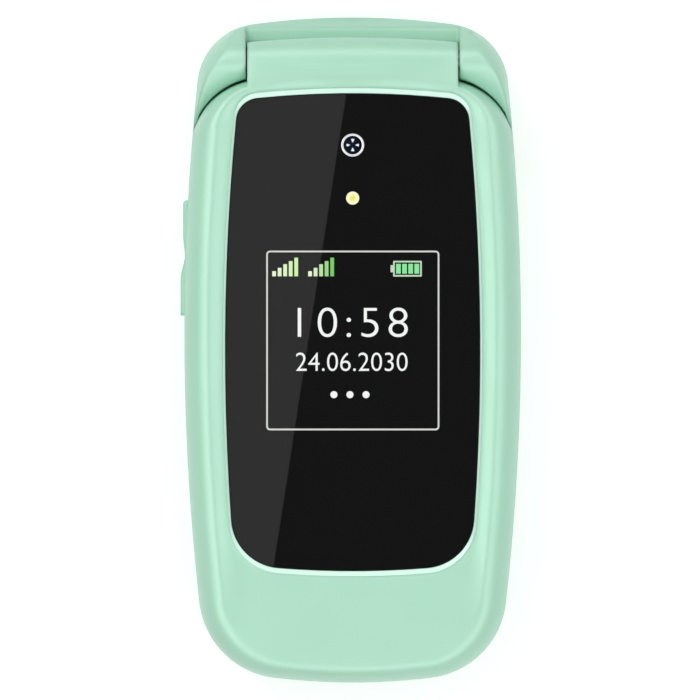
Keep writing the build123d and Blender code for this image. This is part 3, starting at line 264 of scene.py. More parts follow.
SMOKE = 0.25  # share of light that the smoked windows let through


def window_glass_material():
    """Smoked glass over the displays."""
    material, tree, shader = new_material("window_glass")
    shader.inputs["Transmission Weight"].default_value = 1.0
    shader.inputs["IOR"].default_value = 1.41
    shader.inputs["Roughness"].default_value = 0.0
    noise = object_noise(tree, 900.0, 2.0)
    tint = two_tone(tree, noise, (SMOKE,) * 3, (1.02 * SMOKE,) * 3)
    link(tree, tint.outputs["Color"], shader.inputs["Base Color"])
    return material


FLASH_RADIUS = 1.0 * MM


def flash_material():
    """Yellow phosphor of the flash, paler and brighter towards its rim, with a faint painted glow, though
    the flash is unlit.
    """
    material, tree, shader = new_material("flash_phosphor_glow")
    rim, ring, core = (0.98, 0.97, 0.72), (0.88, 0.87, 0.42), (0.72, 0.73, 0.19)
    fade = radial_fade(tree, "flash_led", FLASH_RADIUS)
    tint = ramp(tree, fade, [(0.0, rim), (0.35, ring), (0.8, core)])
    link(tree, tint.outputs["Color"], shader.inputs["Base Color"])
    # Painted glow: the unlit flash shines faintly in its own colours.
    link(tree, tint.outputs["Color"], shader.inputs["Emission Color"])
    shader.inputs["Emission Strength"].default_value = 0.12
    shader.inputs["Roughness"].default_value = 0.3
    return material


def lens_material():
    """Camera lens: dark navy, with a bluer pupil in its middle."""
    material, tree, shader = new_material("camera_glass")
    rim, ring, pupil = (0.002, 0.003, 0.008), (0.001, 0.002, 0.010), (0.002, 0.004, 0.018)
    low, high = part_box("camera_lens")
    fade = radial_fade(tree, "camera_lens", (high.x - low.x) / 2)
    tint = ramp(tree, fade, [(0.0, rim), (0.3, ring), (0.85, pupil)])
    link(tree, tint.outputs["Color"], shader.inputs["Base Color"])
    shader.inputs["Roughness"].default_value = 0.05
    shader.inputs["Specular IOR Level"].default_value = 0.2
    return material


BAR_COUNT = 5


def fading_glows(name, first, step):
    """Glows of the signal bars, each a step darker and greener than the one before."""
    return [
        glow(f"{name}_{index}", tuple(value - index * less for value, less in zip(first, step)))
        for index in range(BAR_COUNT)
    ]


board = board_material()
window_glass = window_glass_material()
flash = flash_material()
lens_glass = lens_material()
white_glow = glow("readout_white", (0.93, 0.95, 0.94))
frame_glow = glow("readout_frame", (0.71, 0.72, 0.69))
green_glow = glow("readout_green", (0.28, 0.80, 0.36))
pale_green_glow = glow("readout_pale_green", (0.55, 0.72, 0.55))
bar_glows = fading_glows("readout_bar", (0.84, 0.95, 0.68), (0.05, 0.01, 0.06))
green_bar_glows = fading_glows("readout_green_bar", (0.84, 0.96, 0.66), (0.16, 0.09, 0.13))
screen_black = plastic("screen_black", (0.004, 0.004, 0.005), roughness=0.2, variation=0.05, grain=0.02)

MATERIAL_OF = {
    "lid_outer_shell": mint, "keypad_shell": mint, "rear_shell": mint_rear, "battery_cover": mint_rear,
    "lid_inner_shell": mint_inner, "volume_rocker": mint, "outer_window": black_print,
    "outer_display": screen_black, "camera_ring": chrome, "camera_lens": lens_glass,
    "camera_module": black_plastic, "flash_led": flash, "inner_window": black_print,
    "main_display": screen_black, "lid_board": board, "earpiece_mesh": dark_steel,
    "earpiece_speaker": black_plastic, "vibration_motor": steel, "closing_magnet": steel,
    "lid_bumpers": bumper_rubber, "lid_screws": dark_steel, "screw_caps": bumper_rubber,
    "hinge_cartridge": steel, "hinge_shaft": dark_steel, "hinge_bush": black_plastic,
    "nav_ring": key_metal, "key_ok": key_metal, "nav_pad": silicone, "dome_foil": foil,
    "keypad_mat": silicone, "main_board": board, "shield_can": steel, "battery": wrap,
    "battery_contacts": gold, "card_sockets": steel, "loudspeaker": black_plastic, "microphone": steel,
    "antenna": black_plastic, "usb_socket": steel, "headphone_jack": black_plastic,
    "case_screws": dark_steel, "rocker_switches": steel,
}
BODY_OF = {
    node: body for body, members in frame["record"]["behaviour"]["bodies"].items() for node in members
}
for name, node in nodes.items():
    node.data.materials.clear()
    node.data.materials.append(MATERIAL_OF.get(name, key_mint))

# ------------------------------------------------------------------ mesh tools
SMOOTH_ANGLE = 32  # degrees between two faces, up to which they are shaded as one
GLASS_ANGLE = 25
BEVEL_ANGLE = 40
FLAT_ANGLE = 0.4
SOFT_EDGE = 0.12 * MM
WELD = 0.0001 * MM


def smooth_by_angle(mesh, degrees):
    mesh.polygons.foreach_set("use_smooth", [True] * len(mesh.polygons))
    mesh.set_sharp_from_angle(angle=math.radians(degrees))


def refine(name):
    """Visual copy of a CAD node with its moulded edges softened."""
    node = nodes[name]
    mesh = node.data.copy()
    mesh.name = name + "_skin"
    shape = bmesh.new()
    shape.from_mesh(mesh)
    bmesh.ops.remove_doubles(shape, verts=shape.verts, dist=WELD)
    bmesh.ops.dissolve_limit(
        shape, angle_limit=math.radians(FLAT_ANGLE), verts=shape.verts, edges=shape.edges,
        delimit={"NORMAL"},
    )
    shape.to_mesh(mesh)
    shape.free()
    piece = bpy.data.objects.new(name + "_skin", mesh)
    scene.collection.objects.link(piece)
    smooth_by_angle(mesh, SMOOTH_ANGLE)
    bevel = piece.modifiers.new("soft_edges", "BEVEL")
    bevel.width = SOFT_EDGE
    bevel.segments = 2
    bevel.limit_method = "ANGLE"
    bevel.angle_limit = math.radians(SMOOTH_ANGLE)
    bevel.harden_normals = False
    bevel.use_clamp_overlap = True
    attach(piece, BODY_OF[name])
    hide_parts(name)


for node in nodes.values():
    smooth_by_angle(node.data, SMOOTH_ANGLE)


def new_piece(name, mesh, material, body):
    piece = bpy.data.objects.new(name, mesh)
    scene.collection.objects.link(piece)
    mesh.materials.clear()
    mesh.materials.append(material)
    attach(piece, body)
    return piece


def glass_copy(name, node):
    """Smoked glass in the shape of a window."""
    mesh = nodes[node].data.copy()
    piece = bpy.data.objects.new(name, mesh)
    scene.collection.objects.link(piece)
    mesh.materials.clear()
    mesh.materials.append(window_glass)
    return piece


def prism(outline, low, high, holes=()):
    """Mesh of a flat plate: an outline with holes, from one height to another."""
    shape = bmesh.new()
    edges = []
    for loop in (outline, *holes):
        verts = [shape.verts.new((x, y, low)) for x, y in loop]
        edges += [shape.edges.new((a, b)) for a, b in zip(verts, verts[1:] + verts[:1])]
    bmesh.ops.triangle_fill(shape, edges=edges, use_beauty=True, use_dissolve=False)
    bmesh.ops.dissolve_limit(shape, angle_limit=0.01, verts=shape.verts, edges=shape.edges)
    up = bmesh.ops.extrude_face_region(shape, geom=shape.faces[:])
    bmesh.ops.translate(
        shape, vec=(0, 0, high - low), verts=[v for v in up["geom"] if isinstance(v, bmesh.types.BMVert)]
    )
    bmesh.ops.recalc_face_normals(shape, faces=shape.faces)
    mesh = bpy.data.meshes.new("plate")
    shape.to_mesh(mesh)
    shape.free()
    return mesh


def joined(meshes):
    """One mesh from several."""
    shape = bmesh.new()
    for mesh in meshes:
        shape.from_mesh(mesh)
        bpy.data.meshes.remove(mesh)
    mesh = bpy.data.meshes.new("joined")
    shape.to_mesh(mesh)
    shape.free()
    return mesh


def rounded_box(cx, cy, width, height, radius, steps=6):
    points = []
    for qx, qy, start in ((1, 1, 0), (-1, 1, 90), (-1, -1, 180), (1, -1, 270)):
        ox = cx + qx * (width / 2 - radius)
        oy = cy + qy * (height / 2 - radius)
        for step in range(steps + 1):
            angle = math.radians(start + 90 * step / steps)
            points.append((ox + radius * math.cos(angle), oy + radius * math.sin(angle)))
    return points


def circle(cx, cy, radius, steps=64):
    points = []
    for step in range(steps):
        angle = 2 * math.pi * step / steps
        points.append((cx + radius * math.cos(angle), cy + radius * math.sin(angle)))
    return points


def span(mesh, axis):
    """Lowest and highest place of a mesh along an axis, 0 for x and 1 for y."""
    places = [v.co[axis] for v in mesh.vertices]
    return min(places), max(places)


def lettering(name, text, size, thick, spacing=1.0, bold=0.0):
    """Mesh of plain text round the origin, its strokes widened by bold or narrowed if that is negative."""
    curve = bpy.data.curves.new(name, "FONT")
    curve.body = text
    curve.size = size
    curve.align_x = "CENTER"
    curve.align_y = "CENTER"
    curve.space_character = spacing
    curve.extrude = thick / 2
    curve.offset = bold
    curve.resolution_u = 6
    holder = bpy.data.objects.new(name + "_curve", curve)
    scene.collection.objects.link(holder)
    bpy.context.view_layer.update()
    mesh = bpy.data.meshes.new_from_object(holder.evaluated_get(bpy.context.evaluated_depsgraph_get()))
    bpy.data.objects.remove(holder)
    mesh.transform(Matrix.Translation((-sum(span(mesh, 0)) / 2, -sum(span(mesh, 1)) / 2, 0)))
    return mesh


# ------------------------------------------------------------------ CAD shapes that stay, with softer edges
SIDE_KEYS = ("soft_left", "soft_right", "call", "end")
DIGIT_KEYS = ("1", "2", "3", "4", "5", "6", "7", "8", "9", "star", "0", "hash")
for name in (
    "lid_outer_shell", "lid_inner_shell", "keypad_shell", "rear_shell", "battery_cover", "volume_rocker",
    "nav_ring", "key_ok", "camera_ring", *("key_" + key for key in SIDE_KEYS + DIGIT_KEYS),
):
    refine(name)

# The shoulders' walls stand a hair's breadth from the lid's corners, as the moulded ones do.
SEAM_GAP = (0.12 * MM, 0.28 * MM)  # where the solids leave their gap
SEAM_SHIFT = 0.16 * MM
SEAM_FROM = (16.9 * MM, 12.3 * MM)  # beyond the barrel's slots, above the base's face


def lid_surface():
    """The lid's two shells as one surface to measure from."""
    corners = []
    faces = []
    for name in ("lid_outer_shell", "lid_inner_shell"):
        mesh = nodes[name].data
        start = len(corners)
        corners += [v.co for v in mesh.vertices]
        faces += [tuple(start + i for i in p.vertices) for p in mesh.polygons]
    return BVHTree.FromPolygons(corners, faces)


def close_seam():
    """Move the shoulders' walls towards the lid, on the visual copy alone."""
    surface = lid_surface()
    for vert in scene.objects["keypad_shell_skin"].data.vertices:
        if abs(vert.co.x) < SEAM_FROM[0] or vert.co.z < SEAM_FROM[1]:
            continue
        nearest, _, _, distance = surface.find_nearest(vert.co)
        if SEAM_GAP[0] < distance < SEAM_GAP[1]:
            toward = Vector((nearest.x - vert.co.x, nearest.y - vert.co.y, 0))
            if toward.length > SEAM_SHIFT:
                vert.co += toward.normalized() * SEAM_SHIFT


close_seam()

# ------------------------------------------------------------------ outer window
SCALE = 6.365  # pixels of the photograph per millimetre, on the window
WINDOW_PX = (352.7, 332.3)  # the window's middle in the photograph
window_low, window_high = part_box("outer_window")
window_mid_y = (window_low.y + window_high.y) / 2
half_window = (window_high.y - window_low.y) / 2


def px(x, y):
    """Place on the window of a pixel of the photograph."""
    return (x - WINDOW_PX[0]) / SCALE * MM, window_mid_y + (WINDOW_PX[1] - y) / SCALE * MM


glass = glass_copy("window_glass", "outer_window")
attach(glass, "lid")
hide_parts("outer_window")
smooth_by_angle(glass.data, GLASS_ANGLE)

ring_low, ring_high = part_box("camera_ring")
ring_x, ring_y = (ring_low.x + ring_high.x) / 2, (ring_low.y + ring_high.y) / 2
ring_radius = (ring_high.x - ring_low.x) / 2
flash_low, flash_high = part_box("flash_led")
flash_x, flash_y = (flash_low.x + flash_high.x) / 2, (flash_low.y + flash_high.y) / 2

# The black print in each window's glass. Its faces are given from the window's rear face.
PRINT_FROM, PRINT_TO = 0.01 * MM, 0.05 * MM
PRINT_MARGIN = 0.12 * MM
HOLE_PLAY = 0.06 * MM  # round the camera's ring and the flash
HOLE_REACH = 3 * MM  # no corner nearer to the middle of a round hole is on the rim
SNAP = 0.01 * MM
print_low, print_high = window_low.z + PRINT_FROM, window_low.z + PRINT_TO


def on_rim(place):
    """True for a corner of the window's outer rim, and not of its round holes."""
    from_ring = math.hypot(place.x - ring_x, place.y - ring_y)
    from_flash = math.hypot(place.x - flash_x, place.y - flash_y)
    return from_ring > HOLE_REACH and from_flash > HOLE_REACH


def window_outline():
    """Rim of the window's rear face, as points in order round its middle."""
    spots = {
        (round(v.co.x, 6), round(v.co.y, 6))
        for v in nodes["outer_window"].data.vertices
        if abs(v.co.z - window_low.z) < SNAP and on_rim(v.co)
    }
    mid_x = (window_low.x + window_high.x) / 2
    return sorted(spots, key=lambda spot: math.atan2(spot[1] - window_mid_y, spot[0] - mid_x))


def shrunk(outline, amount):
    """The same outline drawn in a little, for a convex shape round the frame's middle."""
    mid_x = sum(x for x, _ in outline) / len(outline)
    mid_y = (min(y for _, y in outline) + max(y for _, y in outline)) / 2
    half_x = max(abs(x - mid_x) for x, _ in outline)
    half_y = max(abs(y - mid_y) for _, y in outline)
    return [
        (mid_x + (x - mid_x) * (1 - amount / half_x), mid_y + (y - mid_y) * (1 - amount / half_y))
        for x, y in outline
    ]


def window_print():
    """Black print of the outer window, with holes for the camera's ring and the flash."""
    holes = [
        circle(ring_x, ring_y, ring_radius + HOLE_PLAY),
        circle(flash_x, flash_y, FLASH_RADIUS + HOLE_PLAY),
    ]
    mesh = prism(shrunk(window_outline(), PRINT_MARGIN), print_low, print_high, holes)
    new_piece("window_print", mesh, black_print, "lid")


window_print()

# Glossy skin on the bevel between the window and its lip, in a paler mint: a painted highlight, where the
# bevel catches the light.
BEVEL_RISE = 0.3 * MM
BEVEL_SKIN = 0.008 * MM
BEVEL_FACING = 0.2  # least upward part of a bevel face's direction
LEVEL_PLAY = 0.02 * MM


def bevel_skin():
    """Copy of the shell's bevel faces, just clear of them."""
    shape = bmesh.new()
    shape.from_mesh(nodes["lid_outer_shell"].data)
    bmesh.ops.remove_doubles(shape, verts=shape.verts, dist=WELD)
    lip_top = window_high.z + BEVEL_RISE

    def on_bevel(face):
        heights = [v.co.z for v in face.verts]
        middle = face.calc_center_median()
        inside = abs(middle.y - window_mid_y) < half_window + MM and abs(middle.x) < window_high.x + MM
        at_foot = abs(min(heights) - window_high.z) < LEVEL_PLAY
        at_top = abs(max(heights) - lip_top) < LEVEL_PLAY
        return inside and at_foot and at_top and face.normal.z > BEVEL_FACING

    shape.normal_update()
    others = [face for face in shape.faces if not on_bevel(face)]
    bmesh.ops.delete(shape, geom=others, context="FACES")
    shape.normal_update()
    for vert in shape.verts:
        vert.co += vert.normal * 2 * BEVEL_SKIN
    bmesh.ops.solidify(shape, geom=shape.faces[:], thickness=BEVEL_SKIN)
    mesh = bpy.data.meshes.new("window_bevel")
    shape.to_mesh(mesh)
    shape.free()
    return mesh


window_bevel = new_piece("window_bevel", bevel_skin(), mint_bevel_highlight, "lid")
smooth_by_angle(window_bevel.data, BEVEL_ANGLE)

# ------------------------------------------------------------------ what the outer display shows
READOUT_DEPTH = 0.025 * MM
READOUT_LOW, READOUT_HIGH = print_high, print_high + READOUT_DEPTH
READOUT_MIDDLE = (READOUT_LOW + READOUT_HIGH) / 2
SHARP = 0.001 * MM  # radius of a corner that looks sharp

# Boxes in the photograph: left, top, right and bottom in pixels.
FRAME_OUTER_PX = (266.6, 251.1, 439.0, 430.0)
FRAME_INNER_PX = (268.2, 252.7, 437.4, 428.3)
FRAME_CORNERS = (0.6 * MM, 0.35 * MM)
HOURS_PX = (298.0, 307.8, 407.6, 337.2)
DAY_PX = (296.2, 352.6, 407.4, 371.0)
CASE_OUTER_PX = (393.0, 261.2, 421.5, 276.9)
CASE_INNER_PX = (394.6, 262.8, 419.9, 275.3)
CASE_CORNER = 0.1 * MM
NUB_PX = (390.4, 265.6, 393.0, 272.6)
CELLS_LEFT_PX, CELLS_TOP_PX, CELLS_FOOT_PX = 395.9, 264.2, 274.0
CELL_PITCH_PX, CELL_WIDTH_PX, CELL_COUNT = 6.1, 4.7, 4
BAR_STARTS_PX = (272.6, 308.4)
BAR_TOPS_PX = (271.5, 268.2, 264.6, 261.5, 258.1)
BAR_FOOT_PX, BAR_PITCH_PX, BAR_WIDTH_PX = 276.6, 5.5, 3.7
DOTS_PX, DOT_PITCH_PX, DOT_COUNT = (334.0, 394.5), 16.0, 3
DOT_RADIUS = 0.55 * MM

DISPLAY_FONT = 4 * MM  # size at which the numbers are drawn before they fill their box
HOURS_BOLD, DAY_BOLD = -0.05 * MM, -0.03 * MM
HOURS_SPACING = 1.2


def px_corners(x0, y0, x1, y1):
    """Left, bottom, right and top on the window of a box in the photograph's pixels."""
    left, top = px(x0, y0)
    right, bottom = px(x1, y1)
    return left, bottom, right, top


def box_px(x0, y0, x1, y1, radius=SHARP):
    """Outline of a box on the window, by its corners in the photograph's pixels."""
    left, bottom, right, top = px_corners(x0, y0, x1, y1)
    steps = 1 if radius == SHARP else 5
    return rounded_box((left + right) / 2, (top + bottom) / 2, right - left, top - bottom, radius, steps)


def plate_px(*corners, radius=SHARP, holes=()):
    """Plate on the window, by its corners in the photograph's pixels."""
    return prism(box_px(*corners, radius), READOUT_LOW, READOUT_HIGH, holes)


def readout_frame():
    outer, inner = FRAME_CORNERS
    mesh = plate_px(*FRAME_OUTER_PX, radius=outer, holes=[box_px(*FRAME_INNER_PX, inner)])
    new_piece("readout_frame", mesh, frame_glow, "lid")


def signal_bars():
    groups = zip(("one", "two"), BAR_STARTS_PX, (bar_glows, green_bar_glows))
    for group, start, colors in groups:
        for index, (top, color) in enumerate(zip(BAR_TOPS_PX, colors)):
            left = start + index * BAR_PITCH_PX
            bar = plate_px(left, top, left + BAR_WIDTH_PX, BAR_FOOT_PX)
            new_piece(f"signal_{group}_{index + 1}", bar, color, "lid")


def charge_mark():
    case = plate_px(*CASE_OUTER_PX, radius=CASE_CORNER, holes=[box_px(*CASE_INNER_PX)])
    nub = plate_px(*NUB_PX)
    new_piece("charge_case", joined([case, nub]), pale_green_glow, "lid")
    cells = []
    for index in range(CELL_COUNT):
        left = CELLS_LEFT_PX + CELL_PITCH_PX * index
        cells.append(plate_px(left, CELLS_TOP_PX, left + CELL_WIDTH_PX, CELLS_FOOT_PX))
    new_piece("charge_cells", joined(cells), green_glow, "lid")


def fit_words(name, text, outline, height, spacing=1.0, flip=False, bold=0.0):
    """Plain numbers that fill a box on a display: its x0, y0, x1 and y1 in metres."""
    x0, y0, x1, y1 = outline
    mesh = lettering(name, text, DISPLAY_FONT, READOUT_DEPTH, spacing, bold)
    left, right = span(mesh, 0)
    low, high = span(mesh, 1)
    mesh.transform(Matrix.Diagonal(((x1 - x0) / (right - left), (y1 - y0) / (high - low), 1, 1)))
    if flip:
        mesh.transform(Matrix.Rotation(math.pi, 4, "X"))
    mesh.transform(Matrix.Translation(((x0 + x1) / 2, (y0 + y1) / 2, height)))
    new_piece(name, mesh, white_glow, "lid")


def readout_dots():
    dots = []
    for index in range(DOT_COUNT):
        x, y = px(DOTS_PX[0] + DOT_PITCH_PX * index, DOTS_PX[1])
        dots.append(prism(circle(x, y, DOT_RADIUS, 32), READOUT_LOW, READOUT_HIGH))
    new_piece("readout_dots", joined(dots), white_glow, "lid")


readout_frame()
signal_bars()
charge_mark()
fit_words("readout_hours", "10:58", px_corners(*HOURS_PX), READOUT_MIDDLE, HOURS_SPACING, bold=HOURS_BOLD)
fit_words("readout_day", "24.06.2030", px_corners(*DAY_PX), READOUT_MIDDLE, bold=DAY_BOLD)
readout_dots()

# ------------------------------------------------------------------ painted glints in the camera's lens: reflections drawn as glowing wedges
GLINT_ROOT, GLINT_SHOULDER, GLINT_TIP = 0.36 * MM, 0.92 * MM, 0.97 * MM
GLINT_WIDTHS = (0.56 * MM, 0.46 * MM)  # of the upright pair and the level pair
GLINT_SINK, GLINT_RISE = 0.01 * MM, 0.02 * MM


def lens_glints():
    """Four glowing pale wedges in the lens, pointing up, left, down and right: painted reflections of
    lamps.
    """
    lens_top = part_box("camera_lens")[1].z
    centre = Vector((ring_x, ring_y))
    glints = []
    for turn in range(4):
        width = GLINT_WIDTHS[turn % 2]
        angle = math.radians(90 * turn + 90)
        out = Vector((math.cos(angle), math.sin(angle)))
        side = Vector((-out.y, out.x))
        corners = [
            centre + out * GLINT_SHOULDER + side * width / 2,
            centre + out * GLINT_TIP,
            centre + out * GLINT_SHOULDER - side * width / 2,
            centre + out * GLINT_ROOT,
        ]
        glints.append(prism([(c.x, c.y) for c in corners], lens_top - GLINT_SINK, lens_top + GLINT_RISE))
    # Painted reflection: the wedges glow, though the lens gives no light of its own.
    material = glow("lens_glint", (0.85, 0.92, 1.0), 0.95)
    new_piece("lens_glints", joined(glints), material, "lid")


lens_glints()

# ------------------------------------------------------------------ inner window and display
inner_glass = glass_copy("inner_glass", "inner_window")
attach(inner_glass, "lid")
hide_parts("inner_window")

inner_low, inner_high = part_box("inner_window")
inner_x, inner_y = (inner_low.x + inner_high.x) / 2, (inner_low.y + inner_high.y) / 2
INNER_MARGIN = 0.1 * MM
INNER_CORNER = 2.9 * MM
SCREEN_WIDTH, SCREEN_LENGTH = 36.0 * MM, 47.0 * MM
SCREEN_CORNER = 0.3 * MM
LAYER_GAP, LAYER_FOOT = 0.002 * MM, 0.02 * MM  # a layer's faces, from the layer that it lies on
inner_print_high, inner_print_low = inner_high.z - PRINT_FROM, inner_high.z - PRINT_TO
screen_high, screen_low = inner_print_low - LAYER_GAP, inner_print_low - LAYER_FOOT
menu_high, menu_low = screen_low - LAYER_GAP, screen_low - LAYER_FOOT


def inner_print():
    """Black print of the inner window."""
    width = inner_high.x - inner_low.x - 2 * INNER_MARGIN
    length = inner_high.y - inner_low.y - 2 * INNER_MARGIN
    outline = rounded_box(inner_x, inner_y, width, length, INNER_CORNER)
    mesh = prism(outline, inner_print_low, inner_print_high)
    new_piece("inner_print", mesh, black_print, "lid")


def wallpaper():
    """Soft green and blue sweep on the main display."""
    material, tree, shader = new_material("screen_picture")
    place = add_node(tree, "ShaderNodeTexCoord")
    wave = add_node(tree, "ShaderNodeTexWave")
    wave.inputs["Scale"].default_value = 14.0
    wave.inputs["Distortion"].default_value = 5.0
    wave.inputs["Detail"].default_value = 1.0
    link(tree, place.outputs["Object"], wave.inputs["Vector"])
    deep, teal, pale = (0.01, 0.10, 0.13), (0.03, 0.30, 0.30), (0.25, 0.62, 0.52)
    tint = ramp(tree, wave.outputs["Fac"], [(0.0, deep), (0.5, teal), (1.0, pale)])
    link(tree, tint.outputs["Color"], shader.inputs["Emission Color"])
    shader.inputs["Emission Strength"].default_value = 1.6
    shader.inputs["Base Color"].default_value = (0.01, 0.01, 0.01, 1)
    shader.inputs["Roughness"].default_value = 0.4
    return material


def main_screen():
    outline = rounded_box(inner_x, inner_y, SCREEN_WIDTH, SCREEN_LENGTH, SCREEN_CORNER)
    new_piece("main_screen", prism(outline, screen_low, screen_high), wallpaper(), "lid")


# Seen with the lid open, up on this display is towards -Y and left stays left.
# Boxes of its numbers, from the display's middle: half a width, then both ends along Y.
MAIN_HOURS = (12.0 * MM, -12.5 * MM, -5.5 * MM)
MAIN_DAY = (9.0 * MM, -2.5 * MM, 0.3 * MM)
MAIN_HOURS_SPACING, MAIN_DAY_SPACING = 1.1, 1.05


def menu_words(name, text, box, spacing):
    """Plain numbers on the main display."""
    half_width, low, high = box
    outline = (inner_x - half_width, inner_y + low, inner_x + half_width, inner_y + high)
    fit_words(name, text, outline, (menu_high + menu_low) / 2, spacing, flip=True)


STRIP_DEPTH = 2.4 * MM  # of the display's top strip
strip_edge = inner_y - SCREEN_LENGTH / 2 + STRIP_DEPTH
MENU_BAR_START, MENU_BAR_PITCH, MENU_BAR_WIDTH = 2.0 * MM, 0.9 * MM, 0.6 * MM
MENU_BAR_SHORTEST, MENU_BAR_STEP, MENU_BAR_CORNER = 0.8 * MM, 0.35 * MM, 0.05 * MM
CHARGE_INSET, CHARGE_LENGTH, CHARGE_HEIGHT = 3.4 * MM, 4.2 * MM, 2.2 * MM
CHARGE_LINE, CHARGE_CORNER, FILL_CORNER = 0.25 * MM, 0.2 * MM, 0.1 * MM
FILL_SHIFT, FILL_LENGTH, FILL_HEIGHT = 0.5 * MM, 2.4 * MM, 1.3 * MM
SOFT_MARK_SIZE = (5.0 * MM, 0.7 * MM, 0.3 * MM)  # length, height and corner
SOFT_MARK_ASIDE, SOFT_MARK_INSET = 12.5 * MM, 2.2 * MM


def main_signal():
    bars = []
    for index in range(BAR_COUNT):
        x = inner_x - SCREEN_WIDTH / 2 + MENU_BAR_START + MENU_BAR_PITCH * index
        tall = MENU_BAR_SHORTEST + MENU_BAR_STEP * index
        outline = rounded_box(x, strip_edge - tall / 2, MENU_BAR_WIDTH, tall, MENU_BAR_CORNER, 1)
        bars.append(prism(outline, menu_low, menu_high))
    new_piece("main_signal", joined(bars), white_glow, "lid")


def main_charge():
    x = inner_x + SCREEN_WIDTH / 2 - CHARGE_INSET
    y = strip_edge - CHARGE_HEIGHT / 2
    outer = rounded_box(x, y, CHARGE_LENGTH, CHARGE_HEIGHT, CHARGE_CORNER)
    inner_length, inner_height = CHARGE_LENGTH - 2 * CHARGE_LINE, CHARGE_HEIGHT - 2 * CHARGE_LINE
    inner = rounded_box(x, y, inner_length, inner_height, FILL_CORNER)
    fill = rounded_box(x - FILL_SHIFT, y, FILL_LENGTH, FILL_HEIGHT, FILL_CORNER)
    meshes = [prism(outer, menu_low, menu_high, [inner]), prism(fill, menu_low, menu_high)]
    new_piece("main_charge", joined(meshes), white_glow, "lid")


def main_soft_marks():
    """Two short lines over the soft keys."""
    y = inner_y + SCREEN_LENGTH / 2 - SOFT_MARK_INSET
    marks = []
    for side in (-1, 1):
        outline = rounded_box(inner_x + side * SOFT_MARK_ASIDE, y, *SOFT_MARK_SIZE)
        marks.append(prism(outline, menu_low, menu_high))
    new_piece("main_soft_marks", joined(marks), white_glow, "lid")


inner_print()
main_screen()
menu_words("main_hours", "10:58", MAIN_HOURS, MAIN_HOURS_SPACING)
menu_words("main_day", "24.06.2030", MAIN_DAY, MAIN_DAY_SPACING)
main_signal()
main_charge()
main_soft_marks()

# ------------------------------------------------------------------ legends on the keys
ink = plastic("key_ink", (0.03, 0.05, 0.045), roughness=0.4, variation=0.05, grain=0.05)
red_ink = plastic("end_ink", (0.62, 0.03, 0.03), roughness=0.4, variation=0.05, grain=0.05)
green_ink = plastic("call_ink", (0.02, 0.36, 0.10), roughness=0.4, variation=0.05, grain=0.05)
INK = 0.02 * MM
INK_SINK = 0.002 * MM
LEGEND_FONT = 6 * MM
LEGEND_BOLD = 0.03 * MM
DIGIT_HEIGHT, STAR_HEIGHT, HASH_HEIGHT = 5.0 * MM, 2.6 * MM, 4.4 * MM
LINE_SIZE = (4.2 * MM, 0.7 * MM, 0.34 * MM)  # length, height and corner

# The handset: radii of its back, grip and cups, and how far their centre lies below the key's.
# All four are multiplied by its scale, which makes it about 4.4 mm long.
HANDSET_SCALE = 0.85 * MM
HANDSET_BACK, HANDSET_GRIP, HANDSET_CUP, HANDSET_SINK = 3.0, 2.2, 1.55, 1.6
HANDSET_HALF_SPAN, HANDSET_STEPS = 60, 16
HANDSET_TURNS = {"call": 35, "end": 0}


def key_centre(name):
    low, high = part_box(name)
    return (low.x + high.x) / 2, (low.y + high.y) / 2, high.z


def digit_legend(key, text, height):
    x, y, top = key_centre("key_" + key)
    mesh = lettering("legend_" + key, text, LEGEND_FONT, INK, bold=LEGEND_BOLD)
    low, high = span(mesh, 1)
    factor = height / (high - low)
    mesh.transform(Matrix.Diagonal((factor, factor, 1, 1)))
    mesh.transform(Matrix.Translation((x, y, top + INK / 2 - INK_SINK)))
    new_piece("legend_" + key, mesh, ink, "key_" + key)


def handset(turn):
    """Outline of a plain telephone handset, before its scale, turned by some degrees."""
    arcs = []
    for step in range(HANDSET_STEPS + 1):
        arcs.append((HANDSET_BACK, 90 + HANDSET_HALF_SPAN * (1 - 2 * step / HANDSET_STEPS)))
    for step in range(HANDSET_STEPS + 1):
        in_grip = abs(step - HANDSET_STEPS / 2) < HANDSET_STEPS / 4
        radius = HANDSET_GRIP if in_grip else HANDSET_CUP
        arcs.append((radius, 90 - HANDSET_HALF_SPAN * (1 - 2 * step / HANDSET_STEPS)))
    spin = math.radians(turn)
    outline = []
    for radius, degrees in arcs:
        angle = math.radians(degrees)
        x = radius * math.cos(angle)
        y = radius * math.sin(angle) - HANDSET_SINK
        outline.append((x * math.cos(spin) - y * math.sin(spin), x * math.sin(spin) + y * math.cos(spin)))
    return outline


def handset_legend(key, material):
    x, y, top = key_centre("key_" + key)
    outline = [(x + u * HANDSET_SCALE, y + v * HANDSET_SCALE) for u, v in handset(HANDSET_TURNS[key])]
    new_piece("legend_" + key, prism(outline, top - INK_SINK, top + INK), material, "key_" + key)


def line_legend(key):
    x, y, top = key_centre("key_" + key)
    outline = rounded_box(x, y, *LINE_SIZE)
    new_piece("legend_" + key, prism(outline, top - INK_SINK, top + INK), ink, "key_" + key)


for digit in "0123456789":
    digit_legend(digit, digit, DIGIT_HEIGHT)
digit_legend("star", "*", STAR_HEIGHT)
digit_legend("hash", "#", HASH_HEIGHT)
handset_legend("call", green_ink)
handset_legend("end", red_ink)
line_legend("soft_left")
line_legend("soft_right")

# ------------------------------------------------------------------ stage, light and camera
FLOOR_HALF = 4.0
FLOOR_DROP = 0.02 * MM
FLOOR_LIFT = 0.42  # the paper's own light, only where it is seen
SKY_LIGHT, SKY_SEEN = 0.62, 1.0  # strength on things, and where the sky itself is seen


def flat_mesh(name, corners):
    """Mesh of one face with four corners."""
    mesh = bpy.data.meshes.new(name)
    mesh.from_pydata(corners, [], [(0, 1, 2, 3)])
    return mesh


